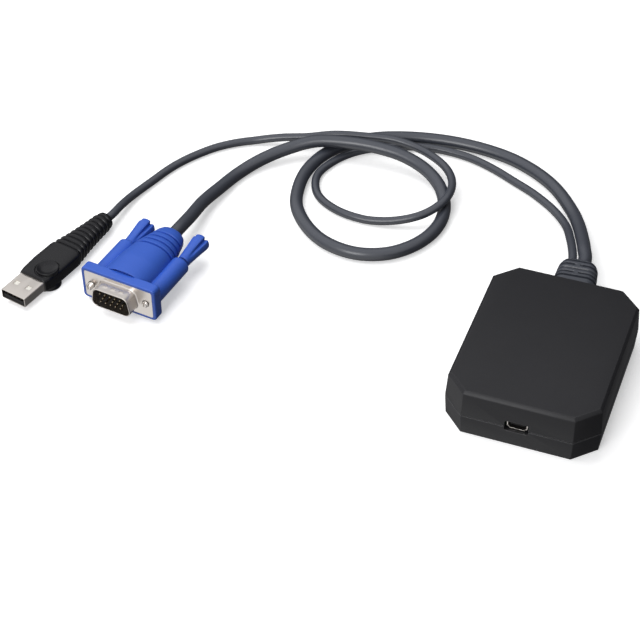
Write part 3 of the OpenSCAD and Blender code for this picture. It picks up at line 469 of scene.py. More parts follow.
def detail_group():
    """A node group that breaks up a surface: its colour, its gloss, its grain and its worn edges, which it lightens
    partly as wear and partly as a painted highlight.
    """
    group = bpy.data.node_groups.new("surface_detail", "ShaderNodeTree")
    for way, kind, names in (
        ("INPUT", "NodeSocketColor", ("Color", "Wear And Highlight Color")),
        ("INPUT", "NodeSocketFloat", ("Spread", "Grain Scale", "Grain Height", "Roughness", "Edge Size", "Wear And Highlight")),
        ("OUTPUT", "NodeSocketColor", ("Color",)),
        ("OUTPUT", "NodeSocketFloat", ("Roughness",)),
        ("OUTPUT", "NodeSocketVector", ("Normal",)),
    ):
        for name in names:
            group.interface.new_socket(name, in_out=way, socket_type=kind)
    given = add_node(group, "NodeGroupInput").outputs
    where = add_node(group, "ShaderNodeTexCoord").outputs["Object"]

    def noise(scale, detail, distortion=0.0):
        sockets = {"Vector": where, "Scale": scale, "Detail": detail, "Distortion": distortion}
        return add_node(group, "ShaderNodeTexNoise", sockets).outputs["Fac"]

    def added(*values):
        return calculated(group, "ADD", *values)

    def times(*values):
        return calculated(group, "MULTIPLY", *values)

    grain = noise(given["Grain Scale"], 5)
    cloud = noise(55, 4, 0.6)
    smudge = noise(160, 6, 1.2)
    # Broad, slight changes of tone
    tone = added(times(added(cloud, -0.5), given["Spread"]), times(added(grain, -0.5), given["Spread"]))
    toned = add_node(
        group, "ShaderNodeVectorMath", {0: given["Color"], "Scale": added(tone, 1.0)}, operation="SCALE"
    )
    # Edges show where the softened normal leaves the true one. There the colour turns lighter: partly wear, partly a
    # painted highlight along the edges
    soft = add_node(group, "ShaderNodeBevel", {"Radius": given["Edge Size"]}, samples=4).outputs["Normal"]
    true = add_node(group, "ShaderNodeNewGeometry").outputs["Normal"]
    facing = add_node(group, "ShaderNodeVectorMath", {0: soft, 1: true}, operation="DOT_PRODUCT").outputs["Value"]
    edge = add_node(group, "ShaderNodeMapRange", {
        "Value": facing, "From Min": 0.995, "From Max": 0.88, "To Min": 0.0, "To Max": 1.0,
    }).outputs["Result"]
    color = add_node(group, "ShaderNodeMix", {
        "Factor": times(times(edge, given["Wear And Highlight"]), added(smudge, 0.35)), "A": toned.outputs["Vector"],
        "B": given["Wear And Highlight Color"],
    }, data_type="RGBA")
    height = add_node(group, "ShaderNodeBump", {
        "Distance": 0.00012, "Strength": given["Grain Height"], "Height": grain, "Normal": soft,
    })
    # Gloss follows the grain and faint smudges
    add_node(group, "NodeGroupOutput", {
        "Color": color.outputs["Result"], "Roughness": times(added(times(smudge, 0.3), 0.85), given["Roughness"]),
        "Normal": height.outputs["Normal"],
    })


def surface(name, color, roughness, wear_and_highlight_color, specular=0.5, metallic=0.0, bump=0.1, scale=900.0, spread=0.2, edge=0.25,
            wear_and_highlight=0.3):
    """One finish. Its colours are linear, and the width of its lighter edges, partly worn and partly a painted
    highlight, is in millimetres.
    """
    tree = empty_tree(bpy.data.materials.new(name + "_finish"))
    detail = add_node(tree, "ShaderNodeGroup", {
        "Color": (*color, 1), "Wear And Highlight Color": (*wear_and_highlight_color, 1), "Spread": spread, "Grain Scale": scale, "Grain Height": bump,
        "Roughness": roughness, "Edge Size": edge * MM, "Wear And Highlight": wear_and_highlight,
    }, node_tree=bpy.data.node_groups["surface_detail"]).outputs
    shader = add_node(tree, "ShaderNodeBsdfPrincipled", {
        "Metallic": metallic, "Specular IOR Level": specular, "Base Color": detail["Color"],
        "Roughness": detail["Roughness"], "Normal": detail["Normal"],
    })
    add_node(tree, "ShaderNodeOutputMaterial", {"Surface": shader.outputs["BSDF"]})


# The finishes. Those without a colour here have it in the colour settings. Each gives a lighter colour for its edges:
# partly wear, partly a painted highlight
MATERIALS = {
    # The case's edges are lightened most: a painted highlight on its bevels, and some wear
    "case_plastic": dict(roughness=0.38, wear_and_highlight_color=(0.12, 0.12, 0.125), specular=0.24, bump=0.25, scale=2400, wear_and_highlight=1.1,
                         edge=0.5),
    "cord_jacket": dict(roughness=0.32, wear_and_highlight_color=(0.1, 0.11, 0.13), specular=0.75, bump=0.12, scale=1600, wear_and_highlight=0.2),
    "hood_plastic": dict(roughness=0.36, wear_and_highlight_color=(0.1, 0.22, 0.7), specular=0.5, bump=0.08, scale=1400, wear_and_highlight=0.35,
                         spread=0.12),
    "grip_plastic": dict(roughness=0.27, wear_and_highlight_color=(0.05, 0.05, 0.052), specular=0.3, bump=0.12, scale=1500, wear_and_highlight=0.25),
    "nickel_plate": dict(roughness=0.31, wear_and_highlight_color=(0.8, 0.76, 0.7), metallic=1.0, bump=0.05, scale=1800, edge=0.15,
                         spread=0.1),
    # The gold is kept dark: painted shade for the pins, which sit in the shade inside the plated mouth
    "contact_gold": dict(color=(0.24, 0.2, 0.14), roughness=0.3, wear_and_highlight_color=(0.6, 0.52, 0.36), metallic=1.0, bump=0.03,
                         edge=0.1),
    "insulator_plastic": dict(color=(0.008, 0.008, 0.009), roughness=0.55, wear_and_highlight_color=(0.02, 0.02, 0.02), specular=0.2),
    "screw_steel": dict(color=(0.32, 0.32, 0.33), roughness=0.35, wear_and_highlight_color=(0.5, 0.5, 0.5), metallic=1.0, bump=0.05),
    "board_laminate": dict(color=(0.02, 0.13, 0.06), roughness=0.35, wear_and_highlight_color=(0.05, 0.2, 0.1), bump=0.05),
    "chip_plastic": dict(color=(0.02, 0.02, 0.022), roughness=0.5, wear_and_highlight_color=(0.04, 0.04, 0.04), bump=0.08),
    "header_plastic": dict(color=(0.78, 0.76, 0.7), roughness=0.45, wear_and_highlight_color=(0.85, 0.83, 0.78), bump=0.05),
}


def finish(obj, slot, body="adapter"):
    """Gives a new piece its finish and its body."""
    obj.data.materials.clear()
    obj.data.materials.append(bpy.data.materials[slot + "_finish"])
    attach(obj, body)
    return obj


def settled(obj, angle, place, turn, slot, body="adapter"):
    """Shades a new piece, puts it in its place and gives it its finish and its body."""
    put_down(shade(obj, angle), place, turn)
    return finish(obj, slot, body)


class ADAPTER_OT_materials(bpy.types.Operator):
    """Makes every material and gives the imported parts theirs"""

    bl_idname = "adapter.materials"
    bl_label = "Materials"

    def execute(self, context):
        detail_group()
        for name, values in MATERIALS.items():
            color = values.get("color") or getattr(context.scene.adapter_colors, name)
            surface(name, **{**values, "color": color})
        for part in frame["record"]["subparts"]:
            node = frame["nodes"][part["node"]]
            node.data.materials.clear()
            node.data.materials.append(bpy.data.materials[part["material_slot"] + "_finish"])
        return {"FINISHED"}


class ADAPTER_OT_camera(bpy.types.Operator):
    """Places the camera as the photograph has it"""

    bl_idname = "adapter.camera"
    bl_label = "Camera"

    def execute(self, context):
        s = context.scene.adapter_stage
        bpy.ops.object.camera_add(location=s.camera_at, rotation=s.camera_turn)
        camera = context.object
        camera.name = "camera"
        camera.data.lens = s.lens
        camera.data.sensor_width = 36
        context.scene.camera = camera
        return {"FINISHED"}


class ADAPTER_OT_cords(bpy.types.Operator):
    """Lays the two cords from the boot to their plugs"""

    bl_idname = "adapter.cords"
    bl_label = "Cords"

    def execute(self, context):
        s = context.scene.adapter_cords
        for name, node, diameter, other, side, route, place, turn, end, pieces in (
            ("video_cord", "vga_cord", s.vga_diameter, s.usb_diameter, 1, VGA_ROUTE, VGA_PLACE, VGA_TURN, HOOD_L,
             ["vga_hood", "vga_shell", "vga_insulator", "vga_pins", "left_screw", "left_knob", "right_screw",
              "right_knob"]),
            ("host_cord", "usb_cord", s.usb_diameter, s.vga_diameter, -1, USB_ROUTE, USB_PLACE, USB_TURN,
             GRIP_FROM + GRIP_L, ["usb_grip", "usb_shell", "usb_tongue", "usb_contacts"]),
        ):
            x = side * (other + s.gap) / 2 / MM
            start = placed(BOOT_PLACE, BOOT_LEAN, (x, BOOT_L, 0))
            points = [
                start,
                placed(BOOT_PLACE, BOOT_LEAN, (x, BOOT_L + diameter / MM, 0)),
                *[Vector((a, b, c + diameter / 2)) for a, b, c in route],
                placed(place, turn, (0, end + diameter / MM, 0)),
                placed(place, turn, (0, end, 0)),
            ]
            path = smooth_path(points, s.step, diameter / 2)
            cord = shade(swept(name, path, diameter, CORD_SIDES), 50)
            finish(cord, "cord_jacket")
            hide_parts(node)
        return {"FINISHED"}


# The case


def eight_sided(z, inset):
    """The case outline at a height, drawn in by an inset."""
    w, d, c = CASE_W / 2 - inset, CASE_D / 2 - inset, CORNER - inset * (2 - math.sqrt(2))
    points = [(-w, c - d), (c - w, -d), (w - c, -d), (w, c - d), (w, d - c), (w - c, d), (c - w, d), (-w, d - c)]
    return [(x, y, z) for x, y in points]


class ADAPTER_OT_case(bpy.types.Operator):
    """Models both covers with soft edges, the seam groove and the real openings"""

    bl_idname = "adapter.case"
    bl_label = "Case"

    def execute(self, context):
        half = GROOVE / 2
        # Each cover: heights and insets of its outside, and the heights of its hollow
        covers = {
            "top_cover": (
                [(SEAM, GROOVE), (SEAM + half, GROOVE), (SEAM + half, SKIN),
                 (CASE_H - BEVEL, TOP_DRAFT), (CASE_H, TOP_DRAFT + BEVEL)],
                (SEAM - 1, CASE_H - ROOF),
            ),
            "bottom_cover": (
                [(0, BOTTOM_DRAFT), (SEAM - half, SKIN), (SEAM - half, GROOVE), (SEAM, GROOVE)],
                (FLOOR_T, SEAM + 1),
            ),
        }
        for node, (outside, inside) in covers.items():
            cover = lofted(node.replace("_cover", "_shell"), [eight_sided(z, inset) for z, inset in outside])
            apply_modifier(
                cover, "BEVEL", width=EDGE_ROUND * MM, segments=2, limit_method="ANGLE", angle_limit=math.radians(20)
            )
            hollow = lofted("hollow", [eight_sided(z, INNER) for z in inside])
            port = lofted("port", [
                moved(rounded(y, SOCKET_W + 2 * PORT_GAP, SOCKET_H + PORT_GAP, PORT_CORNER), 0, PORT_Z)
                for y in (-CASE_D / 2 - 1, -CASE_D / 2 + INNER + 1)
            ])
            neck = lofted("neck", [
                moved(rounded(y, NECK_W, NECK_H, NECK_EDGE), BOOT_SHIFT, SEAM)
                for y in (CASE_D / 2 - INNER - 1, CASE_D / 2 + 1)
            ])
            cut_by(cover, hollow, port, neck)
            if node == "bottom_cover":
                for x in (-1, 1):
                    for y in (-1, 1):
                        start_clean()
                        bpy.ops.mesh.primitive_cylinder_add(
                            vertices=48, radius=SCREW_HOLE_R * MM, depth=4 * MM,
                            location=(x * SCREW_AT[0] * MM, y * SCREW_AT[1] * MM, (SCREW_HOLE_H - 2) * MM),
                        )
                        cut_by(cover, context.object)
            finish(shade(cover, 35), "case_plastic")
            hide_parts(node)
        return {"FINISHED"}


# The boot


class ADAPTER_OT_boot(bpy.types.Operator):
    """Models the ribbed boot with its neck and inner flange"""

    bl_idname = "adapter.boot"
    bl_label = "Boot"

    def execute(self, context):
        arc, sides = 12, (8, 26, 8, 26)
        back, soft = CASE_D / 2 - INNER, 0.3
        flange_w, flange_h = NECK_W + 2 * BOOT_FLANGE, NECK_H + 2 * BOOT_FLANGE
        rings = [moved(rounded(*ring, arc, sides), BOOT_SHIFT, SEAM) for ring in (
            (back - BOOT_FLANGE_T, flange_w - 2 * soft, flange_h - 2 * soft, BOOT_EDGE - soft),
            (back - BOOT_FLANGE_T + soft, flange_w, flange_h, BOOT_EDGE),
            (back - 0.01, flange_w, flange_h, BOOT_EDGE),
            (back - 0.01, NECK_W, NECK_H, NECK_EDGE),
            (CASE_D / 2 + BOOT_START, NECK_W, NECK_H, NECK_EDGE),
        )]
        lean = math.radians(BOOT_LEAN)

        def rounded_off(y, run, drop):
            near = max(0, (y - (BOOT_L - run)) / run)
            return drop * (1 - math.sqrt(max(0, 1 - near * near)))

        for y in steps(BOOT_START, BOOT_L, 0.19):
            taper = BOOT_TAPER * max(0, min(1, (y - BOOT_TAPER_FROM) / BOOT_TAPER_L))
            w = BOOT_W - 2 * taper - rounded_off(y, BOOT_NOSE_L, BOOT_NOSE_W)
            h = BOOT_H - taper - rounded_off(y, BOOT_BROW_L, BOOT_BROW_H)
            edge = min(BOOT_EDGE, h / 2 - 0.05)
            full = rounded(y, w, h, edge, arc, sides)
            cut = BOOT_GROOVE_DEEP
            small = rounded(y, w - 2 * cut, h - 2 * cut, max(0.3, edge - cut), arc, sides)
            ring = []
            for a, b in zip(full, small):
                bridged = max(0, min(1, (abs(a[0]) - BOOT_BRIDGE) / BOOT_BRIDGE_END))
                deep = max(
                    min(1, 2 * dent(y, [place], BOOT_GROOVE_W)) * (bridged if i % 2 else 1)
                    for i, place in enumerate(BOOT_GROOVES)
                )
                x, _, z = (p + (q - p) * deep for p, q in zip(a, b))
                ring.append((
                    BOOT_SHIFT + x * math.cos(lean) - y * math.sin(lean),
                    CASE_D / 2 + x * math.sin(lean) + y * math.cos(lean),
                    SEAM + z,
                ))
            rings.append(ring)
        boot = shade(lofted("boot", rings), 60)
        finish(boot, "cord_jacket")
        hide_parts("case_boot")
        return {"FINISHED"}


# The video plug


def mouth(y, grow, arc=MOUTH_ARC, sides=MOUTH_SIDES):
    """The mouth's outline across Y, widest at the bottom, grown by an amount."""
    h = MOUTH_H / 2 - MOUTH_CORNER
    bottom = MOUTH_W / 2 - MOUTH_CORNER
    top = bottom - 2 * h * math.tan(math.radians(MOUTH_ANGLE))
    corners = [
        (bottom, -h, -90, MOUTH_ANGLE), (top, h, MOUTH_ANGLE, 90),
        (-top, h, 90, 180 - MOUTH_ANGLE), (-bottom, -h, 180 - MOUTH_ANGLE, 270),
    ]
    return cornered(y, corners, MOUTH_CORNER + grow, arc, sides)


class ADAPTER_OT_hood(bpy.types.Operator):
    """Models the moulded hood: front block, grooved barrel and two sleeves"""

    bl_idname = "adapter.hood"
    bl_label = "Video plug hood"

    def execute(self, context):
        block = lofted("video_hood", [
            rounded(y, HOOD_W - 2 * inset, HOOD_H - 2 * inset, HOOD_CORNER - inset)
            for y, inset in ((0, 0.3), (0.3, 0), (HOOD_BLOCK - 0.4, 0), (HOOD_BLOCK, 0.4))
        ])

        def barrel_rings(inset, first, last, gap):
            rings = []
            for y in steps(first, last, gap):
                t = (y - BARREL_FROM) / BARREL_L
                shrink = 2 * inset(y)
                w = BARREL_W * between(BARREL_STATIONS, BARREL_WIDE, t) - shrink
                h = BARREL_H * between(BARREL_STATIONS, BARREL_HIGH, t) - shrink
                rings.append(oval(y, w, h, between(BARREL_STATIONS, BARREL_SQUARE, t), RING_SIDES))
            return rings

        def core_inset(y):
            return BARREL_SKIN + CORE_SINK * min(1, max(0, (y - CORE_SINK_FROM) / CORE_SINK_L))

        def barrel_inset(y):
            groove = BARREL_GROOVE_DEEP * min(1, 1.5 * dent(y, BARREL_GROOVES, BARREL_GROOVE_W))
            return groove + BARREL_SKIN * max(0, 1 - (y - BARREL_FROM) / BARREL_LIP)

        core = lofted("core", barrel_rings(core_inset, CORE_FROM, CORE_TO, 1))
        sleeves = [
            lofted("sleeve", [
                circle(y, r, 40, x * THUMB_SPAN / 2)
                for y, r in ((2, SLEEVE_R), (SLEEVE_L - SLEEVE_EDGE, SLEEVE_R), (SLEEVE_L, SLEEVE_R - SLEEVE_EDGE))
            ])
            for x in (-1, 1)
        ]
        hood = fused(block, core, *sleeves, voxel=HOOD_VOXEL, rounds=HOOD_SMOOTHING)
        rings = barrel_rings(barrel_inset, BARREL_FROM, HOOD_L, RING_GAP)
        # The barrel's front edge overhangs a shadow gap behind the block
        under = [[(x * f, y, z * f) for x, _, z in rings[0]] for y, f in BARREL_UNDERCUT]
        settled(lofted("video_barrel", under + rings), 40, VGA_PLACE, VGA_TURN, "hood_plastic")
        bores = [
            lofted("bore", [circle(y, BORE_R, 32, x * THUMB_SPAN / 2) for y in (-1, SLEEVE_L + 1)])
            for x in (-1, 1)
        ]
        recess = lofted("recess", [rounded(y, FLANGE_W, FLANGE_H, FLANGE_CORNER) for y in (-1, FLANGE_T)])
        socket = lofted("socket", [mouth(y, MOUTH_T, 6, (2, 4, 2, 4)) for y in (0.2, 6)])
        cut_by(hood, recess, socket, *bores)
        settled(hood, 50, VGA_PLACE, VGA_TURN, "hood_plastic")
        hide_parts("vga_hood")
        return {"FINISHED"}


class ADAPTER_OT_mouth(bpy.types.Operator):
    """Models the plated flange and mouth with its root fillet, rolled lip and dimples"""

    bl_idname = "adapter.mouth"
    bl_label = "Video plug mouth"

    def execute(self, context):
        soft = 0.1
        rings = [rounded(*ring, MOUTH_ARC, MOUTH_SIDES) for ring in (
            (FLANGE_T, FLANGE_W, FLANGE_H, FLANGE_CORNER),
            (soft, FLANGE_W, FLANGE_H, FLANGE_CORNER),
            (0, FLANGE_W - 2 * soft, FLANGE_H - 2 * soft, FLANGE_CORNER - soft),
        )]
        for angle in range(0, 91, 15):
            t = math.radians(angle)
            rings.append(mouth(-ROOT_FILLET * (1 - math.cos(t)), MOUTH_T + ROOT_FILLET * (1 - math.sin(t))))
        for y in steps(-ROOT_FILLET - 0.2, 0.3 - MOUTH_L, 0.2):
            along = (y + MOUTH_L / 2 + DIMPLE_FORWARD) / DIMPLE_L
            ring = []
            for x, _, z in mouth(y, MOUTH_T):
                if z > 0:
                    away = min(math.hypot((x - i * DIMPLE_GAP) / DIMPLE_W, along) for i in (-1, 0, 1))
                    z += DIMPLE_DEEP * math.cos(math.pi / 2 * away) ** 2 if away < 1 else 0
                ring.append((x, y, z))
            rings.append(ring)
        rings += [mouth(y - MOUTH_L, grow) for y, grow in MOUTH_LIP]
        rings.append(mouth(FLANGE_T, 0.0))
        shell = lofted("video_shell", rings, loop=True)
        holes = [
            lofted("hole", [circle(y, BORE_R, 32, x * THUMB_SPAN / 2) for y in (-1, 2)]) for x in (-1, 1)
        ]
        cut_by(shell, *holes)
        settled(shell, 35, VGA_PLACE, VGA_TURN, "nickel_plate")
        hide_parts("vga_shell")
        return {"FINISHED"}


class ADAPTER_OT_pins(bpy.types.Operator):
    """Models the fourteen pins with drawn-in, round tips"""

    bl_idname = "adapter.pins"
    bl_label = "Video plug pins"

    def execute(self, context):
        pins = []
        for row in range(3):
            for i in range(5):
                if (row, i) == PIN_KEY:
                    continue
                x = (i - 2 + (0.25 if row == 1 else -0.25)) * PIN_PITCH
                pins.append(lofted("pin", [circle(y, r, 20, x, (1 - row) * PIN_ROW) for y, r in PIN_PROFILE]))
        pins[0].name = "video_pins"
        # The pins' gold finish is darkened: painted shade for the inside of the mouth
        settled(joined(*pins), 50, VGA_PLACE, VGA_TURN, "contact_gold")
        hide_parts("vga_pins")
        return {"FINISHED"}


class ADAPTER_OT_thumbscrews(bpy.types.Operator):
    """Models both threaded, slotted thumbscrews and their flared, fluted knobs"""

    bl_idname = "adapter.thumbscrews"
    bl_label = "Thumbscrews"

    def execute(self, context):
        for side, x, out in (("left", -1, LEFT_OUT), ("right", 1, RIGHT_OUT)):
            body, place = side + "_thumbscrew", placed_mm(VGA_PLACE, VGA_TURN, (x * THUMB_SPAN / 2, 0, 0))
            front = SLEEVE_L + KNOB_GAP + LEFT_OUT - out
            rings = [circle(-out, THREAD_R - TIP_IN, THREAD_SIDES)]
            for y in steps(-out + 0.05, -0.05, 0.07):
                start = min(1, (y + out) / TIP_L)
                ring = []
                for k in range(THREAD_SIDES):
                    turn = k / THREAD_SIDES
                    crest = 1 - abs(2 * ((y / THREAD_PITCH - turn) % 1) - 1)
                    r = min(THREAD_R, THREAD_R - TIP_IN * (1 - start) - THREAD_DEEP * crest * start)
                    a = 2 * math.pi * turn
                    ring.append((r * math.cos(a), y, r * math.sin(a)))
                rings.append(ring)
            rings += [circle(y, SHANK_R, THREAD_SIDES) for y in (0, front + KNOB_L * 0.6)]
            screw = lofted(side + "_thumbscrew", rings)
            cut_by(screw, box("slot", (-SLOT_W / 2, SLOT_W / 2), (-out - 1, SLOT_DEEP - out), (-3, 3)))
            settled(screw, 40, place, VGA_TURN, "nickel_plate", body)
            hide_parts(side + "_screw")

            rings = [circle(front + 0.02, SHANK_R + 0.02, KNOB_SIDES)]
            for y in (0, 0.25, *steps(0.5, KNOB_L - 0.5, 0.35), KNOB_L - 0.3, KNOB_L - 0.12, KNOB_L):
                t = y / KNOB_L
                r = KNOB_NECK_R + (KNOB_R - KNOB_NECK_R) * min(1, t * KNOB_FLARE) ** KNOB_CURVE
                # Both ends of the knob are rounded off
                r -= max(0, KNOB_NECK_ROUND - y)
                r -= KNOB_RIM_ROUND * max(0, (y - KNOB_L + KNOB_RIM_L) / KNOB_RIM_L) ** 2
                deep = KNOB_FLUTE * min(1, max(0, (t - FLUTE_FROM) / FLUTE_RUN))
                ring = []
                for k in range(KNOB_SIDES):
                    a = 2 * math.pi * k / KNOB_SIDES
                    away = abs((a / (math.pi / 2) + 0.5) % 1 - 0.5) * 90
                    q = r - deep * math.cos(math.pi / 2 * min(1, away / FLUTE_HALF_ANGLE)) ** 2
                    ring.append((q * math.cos(a + math.pi / 4), front + y, q * math.sin(a + math.pi / 4)))
                rings.append(ring)
            rings.append(circle(front + KNOB_L - 0.5, 1.2, KNOB_SIDES))
            knob = lofted(side + "_grip_knob", rings)
            settled(knob, 45, place, VGA_TURN, "hood_plastic", body)
            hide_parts(side + "_knob")
        return {"FINISHED"}


# The host plug


class ADAPTER_OT_grip(bpy.types.Operator):
    """Models the host plug's grip with its ribbed tail and dished thumb rest"""

    bl_idname = "adapter.grip"
    bl_label = "Host plug grip"

    def execute(self, context):
        rings = []
        for y in steps(GRIP_FROM, GRIP_FROM + GRIP_L, RING_GAP):
            t = (y - GRIP_FROM) / GRIP_L
            phase = (y - RIB_FROM) / RIB_PITCH
            deep = 0
            if -0.5 < phase < RIB_COUNT - 0.5:
                deep = 2 * RIB_DEEP * min(1, 1.4 * (1 - 2 * abs(phase - round(phase))) ** 3)
            front = 0.5 * max(0, 1 - (y - GRIP_FROM) / 0.5) ** 2
            w = GRIP_W * between(GRIP_STATIONS, GRIP_WIDE, t) - deep - front
            h = GRIP_H * between(GRIP_STATIONS, GRIP_HIGH, t) - deep - front
            rings.append(oval(y, w, h, between(GRIP_STATIONS, GRIP_SQUARE, t), RING_SIDES))
        grip = lofted("host_grip", rings)
        half = REST_H / 2
        dish = [(r, half - DISH_DEEP * (1 - (r / DISH_R) ** 2)) for r in DISH_RADII]
        rim, upper, lower = ([(r, half - drop) for r, drop in line] for line in (DISH_RIM, UPPER_RIM, LOWER_RIM))
        profile = dish + rim + upper + [(r, -z) for r, z in lower + rim[::-1] + dish[::-1]]
        turns = [2 * math.pi * k / REST_SIDES for k in range(REST_SIDES)]

        def round_rest(r, t, z):
            return REST_X + r * math.cos(t), REST_Y + r * math.sin(t), z

        rest = lofted("rest", [[round_rest(r, t, z) for t in turns] for r, z in profile])
        cut_by(grip, lofted("shell_space", [rounded(y, SHELL_W, SHELL_H, 0.6) for y in (GRIP_FROM - 1, SHELL_END)]))
        # A round crease in the grip, above and below, sets the thumb rest off
        creases = [
            lofted("crease", [
                [
                    round_rest(REST_R - 0.05 + CREASE_R * math.cos(u), t, height + CREASE_R * math.sin(u))
                    for u in turns[::6]
                ]
                for t in turns
            ], loop=True)
            for height in (-(GRIP_H / 2 + 0.05), GRIP_H / 2 + 0.05)
        ]
        cut_by(grip, *creases)
        settled(joined(grip, rest), 50, USB_PLACE, USB_TURN, "grip_plastic")
        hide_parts("usb_grip")
        return {"FINISHED"}


class ADAPTER_OT_host_shell(bpy.types.Operator):
    """Models the host plug's folded metal shell with its windows"""

    bl_idname = "adapter.host_shell"
    bl_label = "Host plug shell"

    def execute(self, context):
        t = SHELL_T
        shell = lofted("host_shell", [
            rounded(y, SHELL_W - 2 * inset, SHELL_H - 2 * inset, SHELL_CORNER - inset)
            for y, inset in (
                (SHELL_END, 0), (0.15, 0), (0.04, 0.04), (0, 0.12), (0, t - 0.08), (0.06, t), (SHELL_END, t)
            )
        ], loop=True)

        def square(middle, half):
            return (middle - half, middle + half), (WINDOW_Y - half, WINDOW_Y + half)

        # Pale plates under the windows show white plastic there and paint the white highlights seen through the windows
        window_highlight_plates = []
        for x in (-WINDOW_SPAN / 2, WINDOW_SPAN / 2):
            for z in (-1, 1):
                cut_by(shell, box("window", *square(x, WINDOW_W / 2), (z * 1.2, z * 3)))
                top = z * (SHELL_H / 2 - t - 0.02)
                window_highlight_plates.append(box("host_window_highlight_plates", *square(x, WINDOW_W / 2 + WINDOW_LAP), (top - z * 0.2, top), 0.05))
        settled(joined(*window_highlight_plates), 35, USB_PLACE, USB_TURN, "header_plastic")
        settled(shell, 35, USB_PLACE, USB_TURN, "nickel_plate")
        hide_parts("usb_shell")
        return {"FINISHED"}


# The stage

FLOOR_SIZE, FLOOR_DROP = 6, 0.0001

# How bright the room is in gloss: weights of the direction, and greys along the sum
GLOSS_X, GLOSS_Y, GLOSS_UP, GLOSS_BASE = -0.45, -0.8, 1.2, 0.6
GLOSS_GREYS = ((0.34, 0.09), (0.84, 0.46), (0.94, 0.85))


def seen_rays(tree):
    """1 for rays that show the background: from the camera, from gloss or through glass."""
    rays = add_node(tree, "ShaderNodeLightPath").outputs
    seen = calculated(tree, "MAXIMUM", rays["Is Camera Ray"], rays["Is Glossy Ray"])
    return calculated(tree, "MAXIMUM", seen, rays["Is Transmission Ray"])


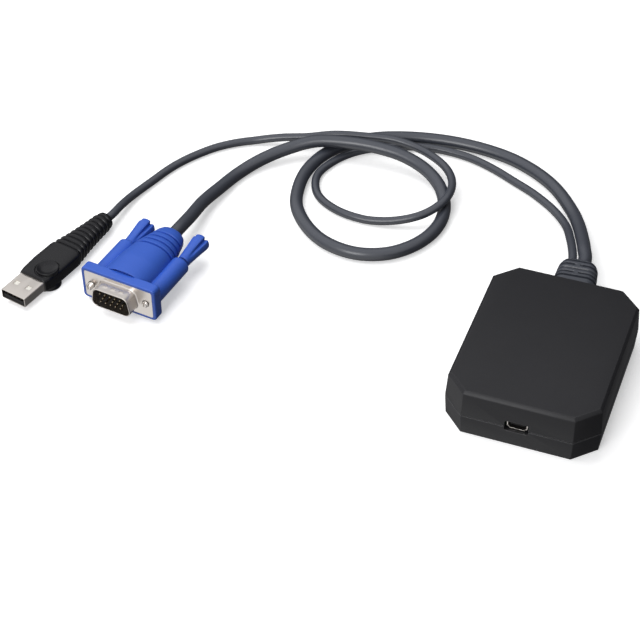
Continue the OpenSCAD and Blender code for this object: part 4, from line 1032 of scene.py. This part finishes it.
class ADAPTER_OT_stage(bpy.types.Operator):
    """Adds the pale floor, the lights and the white background"""

    bl_idname = "adapter.stage"
    bl_label = "Stage"

    def execute(self, context):
        s = context.scene.adapter_stage
        start_clean()
        bpy.ops.mesh.primitive_plane_add(size=FLOOR_SIZE, location=(0, 0, -FLOOR_DROP))
        floor = context.object
        floor.name = "floor"
        material = bpy.data.materials.new("floor_paper")
        tree = empty_tree(material)
        paper = add_node(tree, "ShaderNodeBsdfPrincipled", {
            "Base Color": (0.93, 0.93, 0.935, 1), "Roughness": 0.16, "Specular IOR Level": 0.6,
            "Emission Color": (1, 1, 1, 1), "Emission Strength": s.floor_glow,
        })
        # What the floor throws back on the object is dull, so that its underside stays dark
        dull = add_node(tree, "ShaderNodeBsdfDiffuse", {"Color": (0.2, 0.2, 0.2, 1)})
        floor_look = mixed_shader(tree, seen_rays(tree), dull, paper)
        add_node(tree, "ShaderNodeOutputMaterial", {"Surface": floor_look.outputs["Shader"]})
        floor.data.materials.append(material)
        floor.visible_glossy = False
        # The light overhead stays out of gloss, where it would wash the plating and the plastics out
        for name, place, aim, size, power, mirrored in (
            ("key", (-0.42, 0.08, 0.86), (-0.08, 0.03, 0), 0.95, s.key_power, False),
            ("front", (-0.25, -0.85, 0.62), (-0.08, 0.0, 0), 0.5, s.fill_power, True),
        ):
            bpy.ops.object.light_add(type="AREA", location=place)
            light = context.object
            light.name = name
            light.data.size = size
            light.data.energy = power
            light.visible_glossy = mirrored
            light.rotation_euler = (Vector(place) - Vector(aim)).to_track_quat("Z", "Y").to_euler()
        world = bpy.data.worlds.new("studio")
        context.scene.world = world
        tree = empty_tree(world)
        soft = add_node(tree, "ShaderNodeBackground", {"Color": (0.96, 0.97, 1, 1), "Strength": s.soft_power})
        plain = add_node(tree, "ShaderNodeBackground", {"Color": (1, 1, 1, 1)})
        # In gloss the room is white in front and overhead, and dark to the right, as in a studio with a black card
        where = add_node(tree, "ShaderNodeTexCoord").outputs["Generated"]
        parts = add_node(tree, "ShaderNodeSeparateXYZ", {"Vector": where}).outputs
        bright = calculated(tree, "MULTIPLY_ADD", calculated(tree, "MAXIMUM", parts["Z"], 0), GLOSS_UP, GLOSS_BASE)
        bright = calculated(tree, "MULTIPLY_ADD", parts["Y"], GLOSS_Y, bright)
        bright = calculated(tree, "MULTIPLY_ADD", parts["X"], GLOSS_X, bright)
        ramp = add_node(tree, "ShaderNodeValToRGB", {"Fac": bright})
        points = ramp.color_ramp.elements
        points[0].color = (0.11, 0.11, 0.115, 1)
        for place, grey in GLOSS_GREYS:
            points.new(place).color = (grey, grey, grey, 1)
        white = add_node(tree, "ShaderNodeBackground", {"Color": ramp.outputs["Color"]})
        from_camera = add_node(tree, "ShaderNodeLightPath").outputs["Is Camera Ray"]
        room = mixed_shader(tree, seen_rays(tree), soft, mixed_shader(tree, from_camera, white, plain))
        add_node(tree, "ShaderNodeOutputWorld", {"Surface": room.outputs["Shader"]})
        context.scene.view_settings.view_transform = "Standard"
        return {"FINISHED"}


class ADAPTER_PT_panel(bpy.types.Panel):
    """Buttons and sizes in the 3D view's sidebar"""

    bl_idname = "ADAPTER_PT_panel"
    bl_label = "Adapter"
    bl_space_type = "VIEW_3D"
    bl_region_type = "UI"
    bl_category = "Adapter"

    def draw(self, context):
        layout = self.layout
        for settings in SETTINGS:
            group = getattr(context.scene, settings)
            rows = layout.box()
            for name in group.__annotations__:
                rows.prop(group, name)
        for step in STEPS:
            layout.operator("adapter." + step)


STEPS = (
    "materials", "camera", "cords", "case", "boot", "hood", "mouth", "pins", "thumbscrews", "grip", "host_shell",
    "stage",
)
SETTINGS = {
    "adapter_cords": AdapterCordSettings,
    "adapter_colors": AdapterColorSettings,
    "adapter_stage": AdapterStageSettings,
}
CLASSES = (
    *SETTINGS.values(),
    ADAPTER_OT_materials,
    ADAPTER_OT_camera,
    ADAPTER_OT_cords,
    ADAPTER_OT_case,
    ADAPTER_OT_boot,
    ADAPTER_OT_hood,
    ADAPTER_OT_mouth,
    ADAPTER_OT_pins,
    ADAPTER_OT_thumbscrews,
    ADAPTER_OT_grip,
    ADAPTER_OT_host_shell,
    ADAPTER_OT_stage,
    ADAPTER_PT_panel,
)


def register():
    for cls in CLASSES:
        bpy.utils.register_class(cls)
    for name, group in SETTINGS.items():
        setattr(bpy.types.Scene, name, bpy.props.PointerProperty(type=group))


def unregister():
    for name in SETTINGS:
        delattr(bpy.types.Scene, name)
    for cls in reversed(CLASSES):
        bpy.utils.unregister_class(cls)


def main():
    register()
    for step in STEPS:
        getattr(bpy.ops.adapter, step)()
    bpy.context.view_layer.update()


if __name__ == "__main__":
    main()
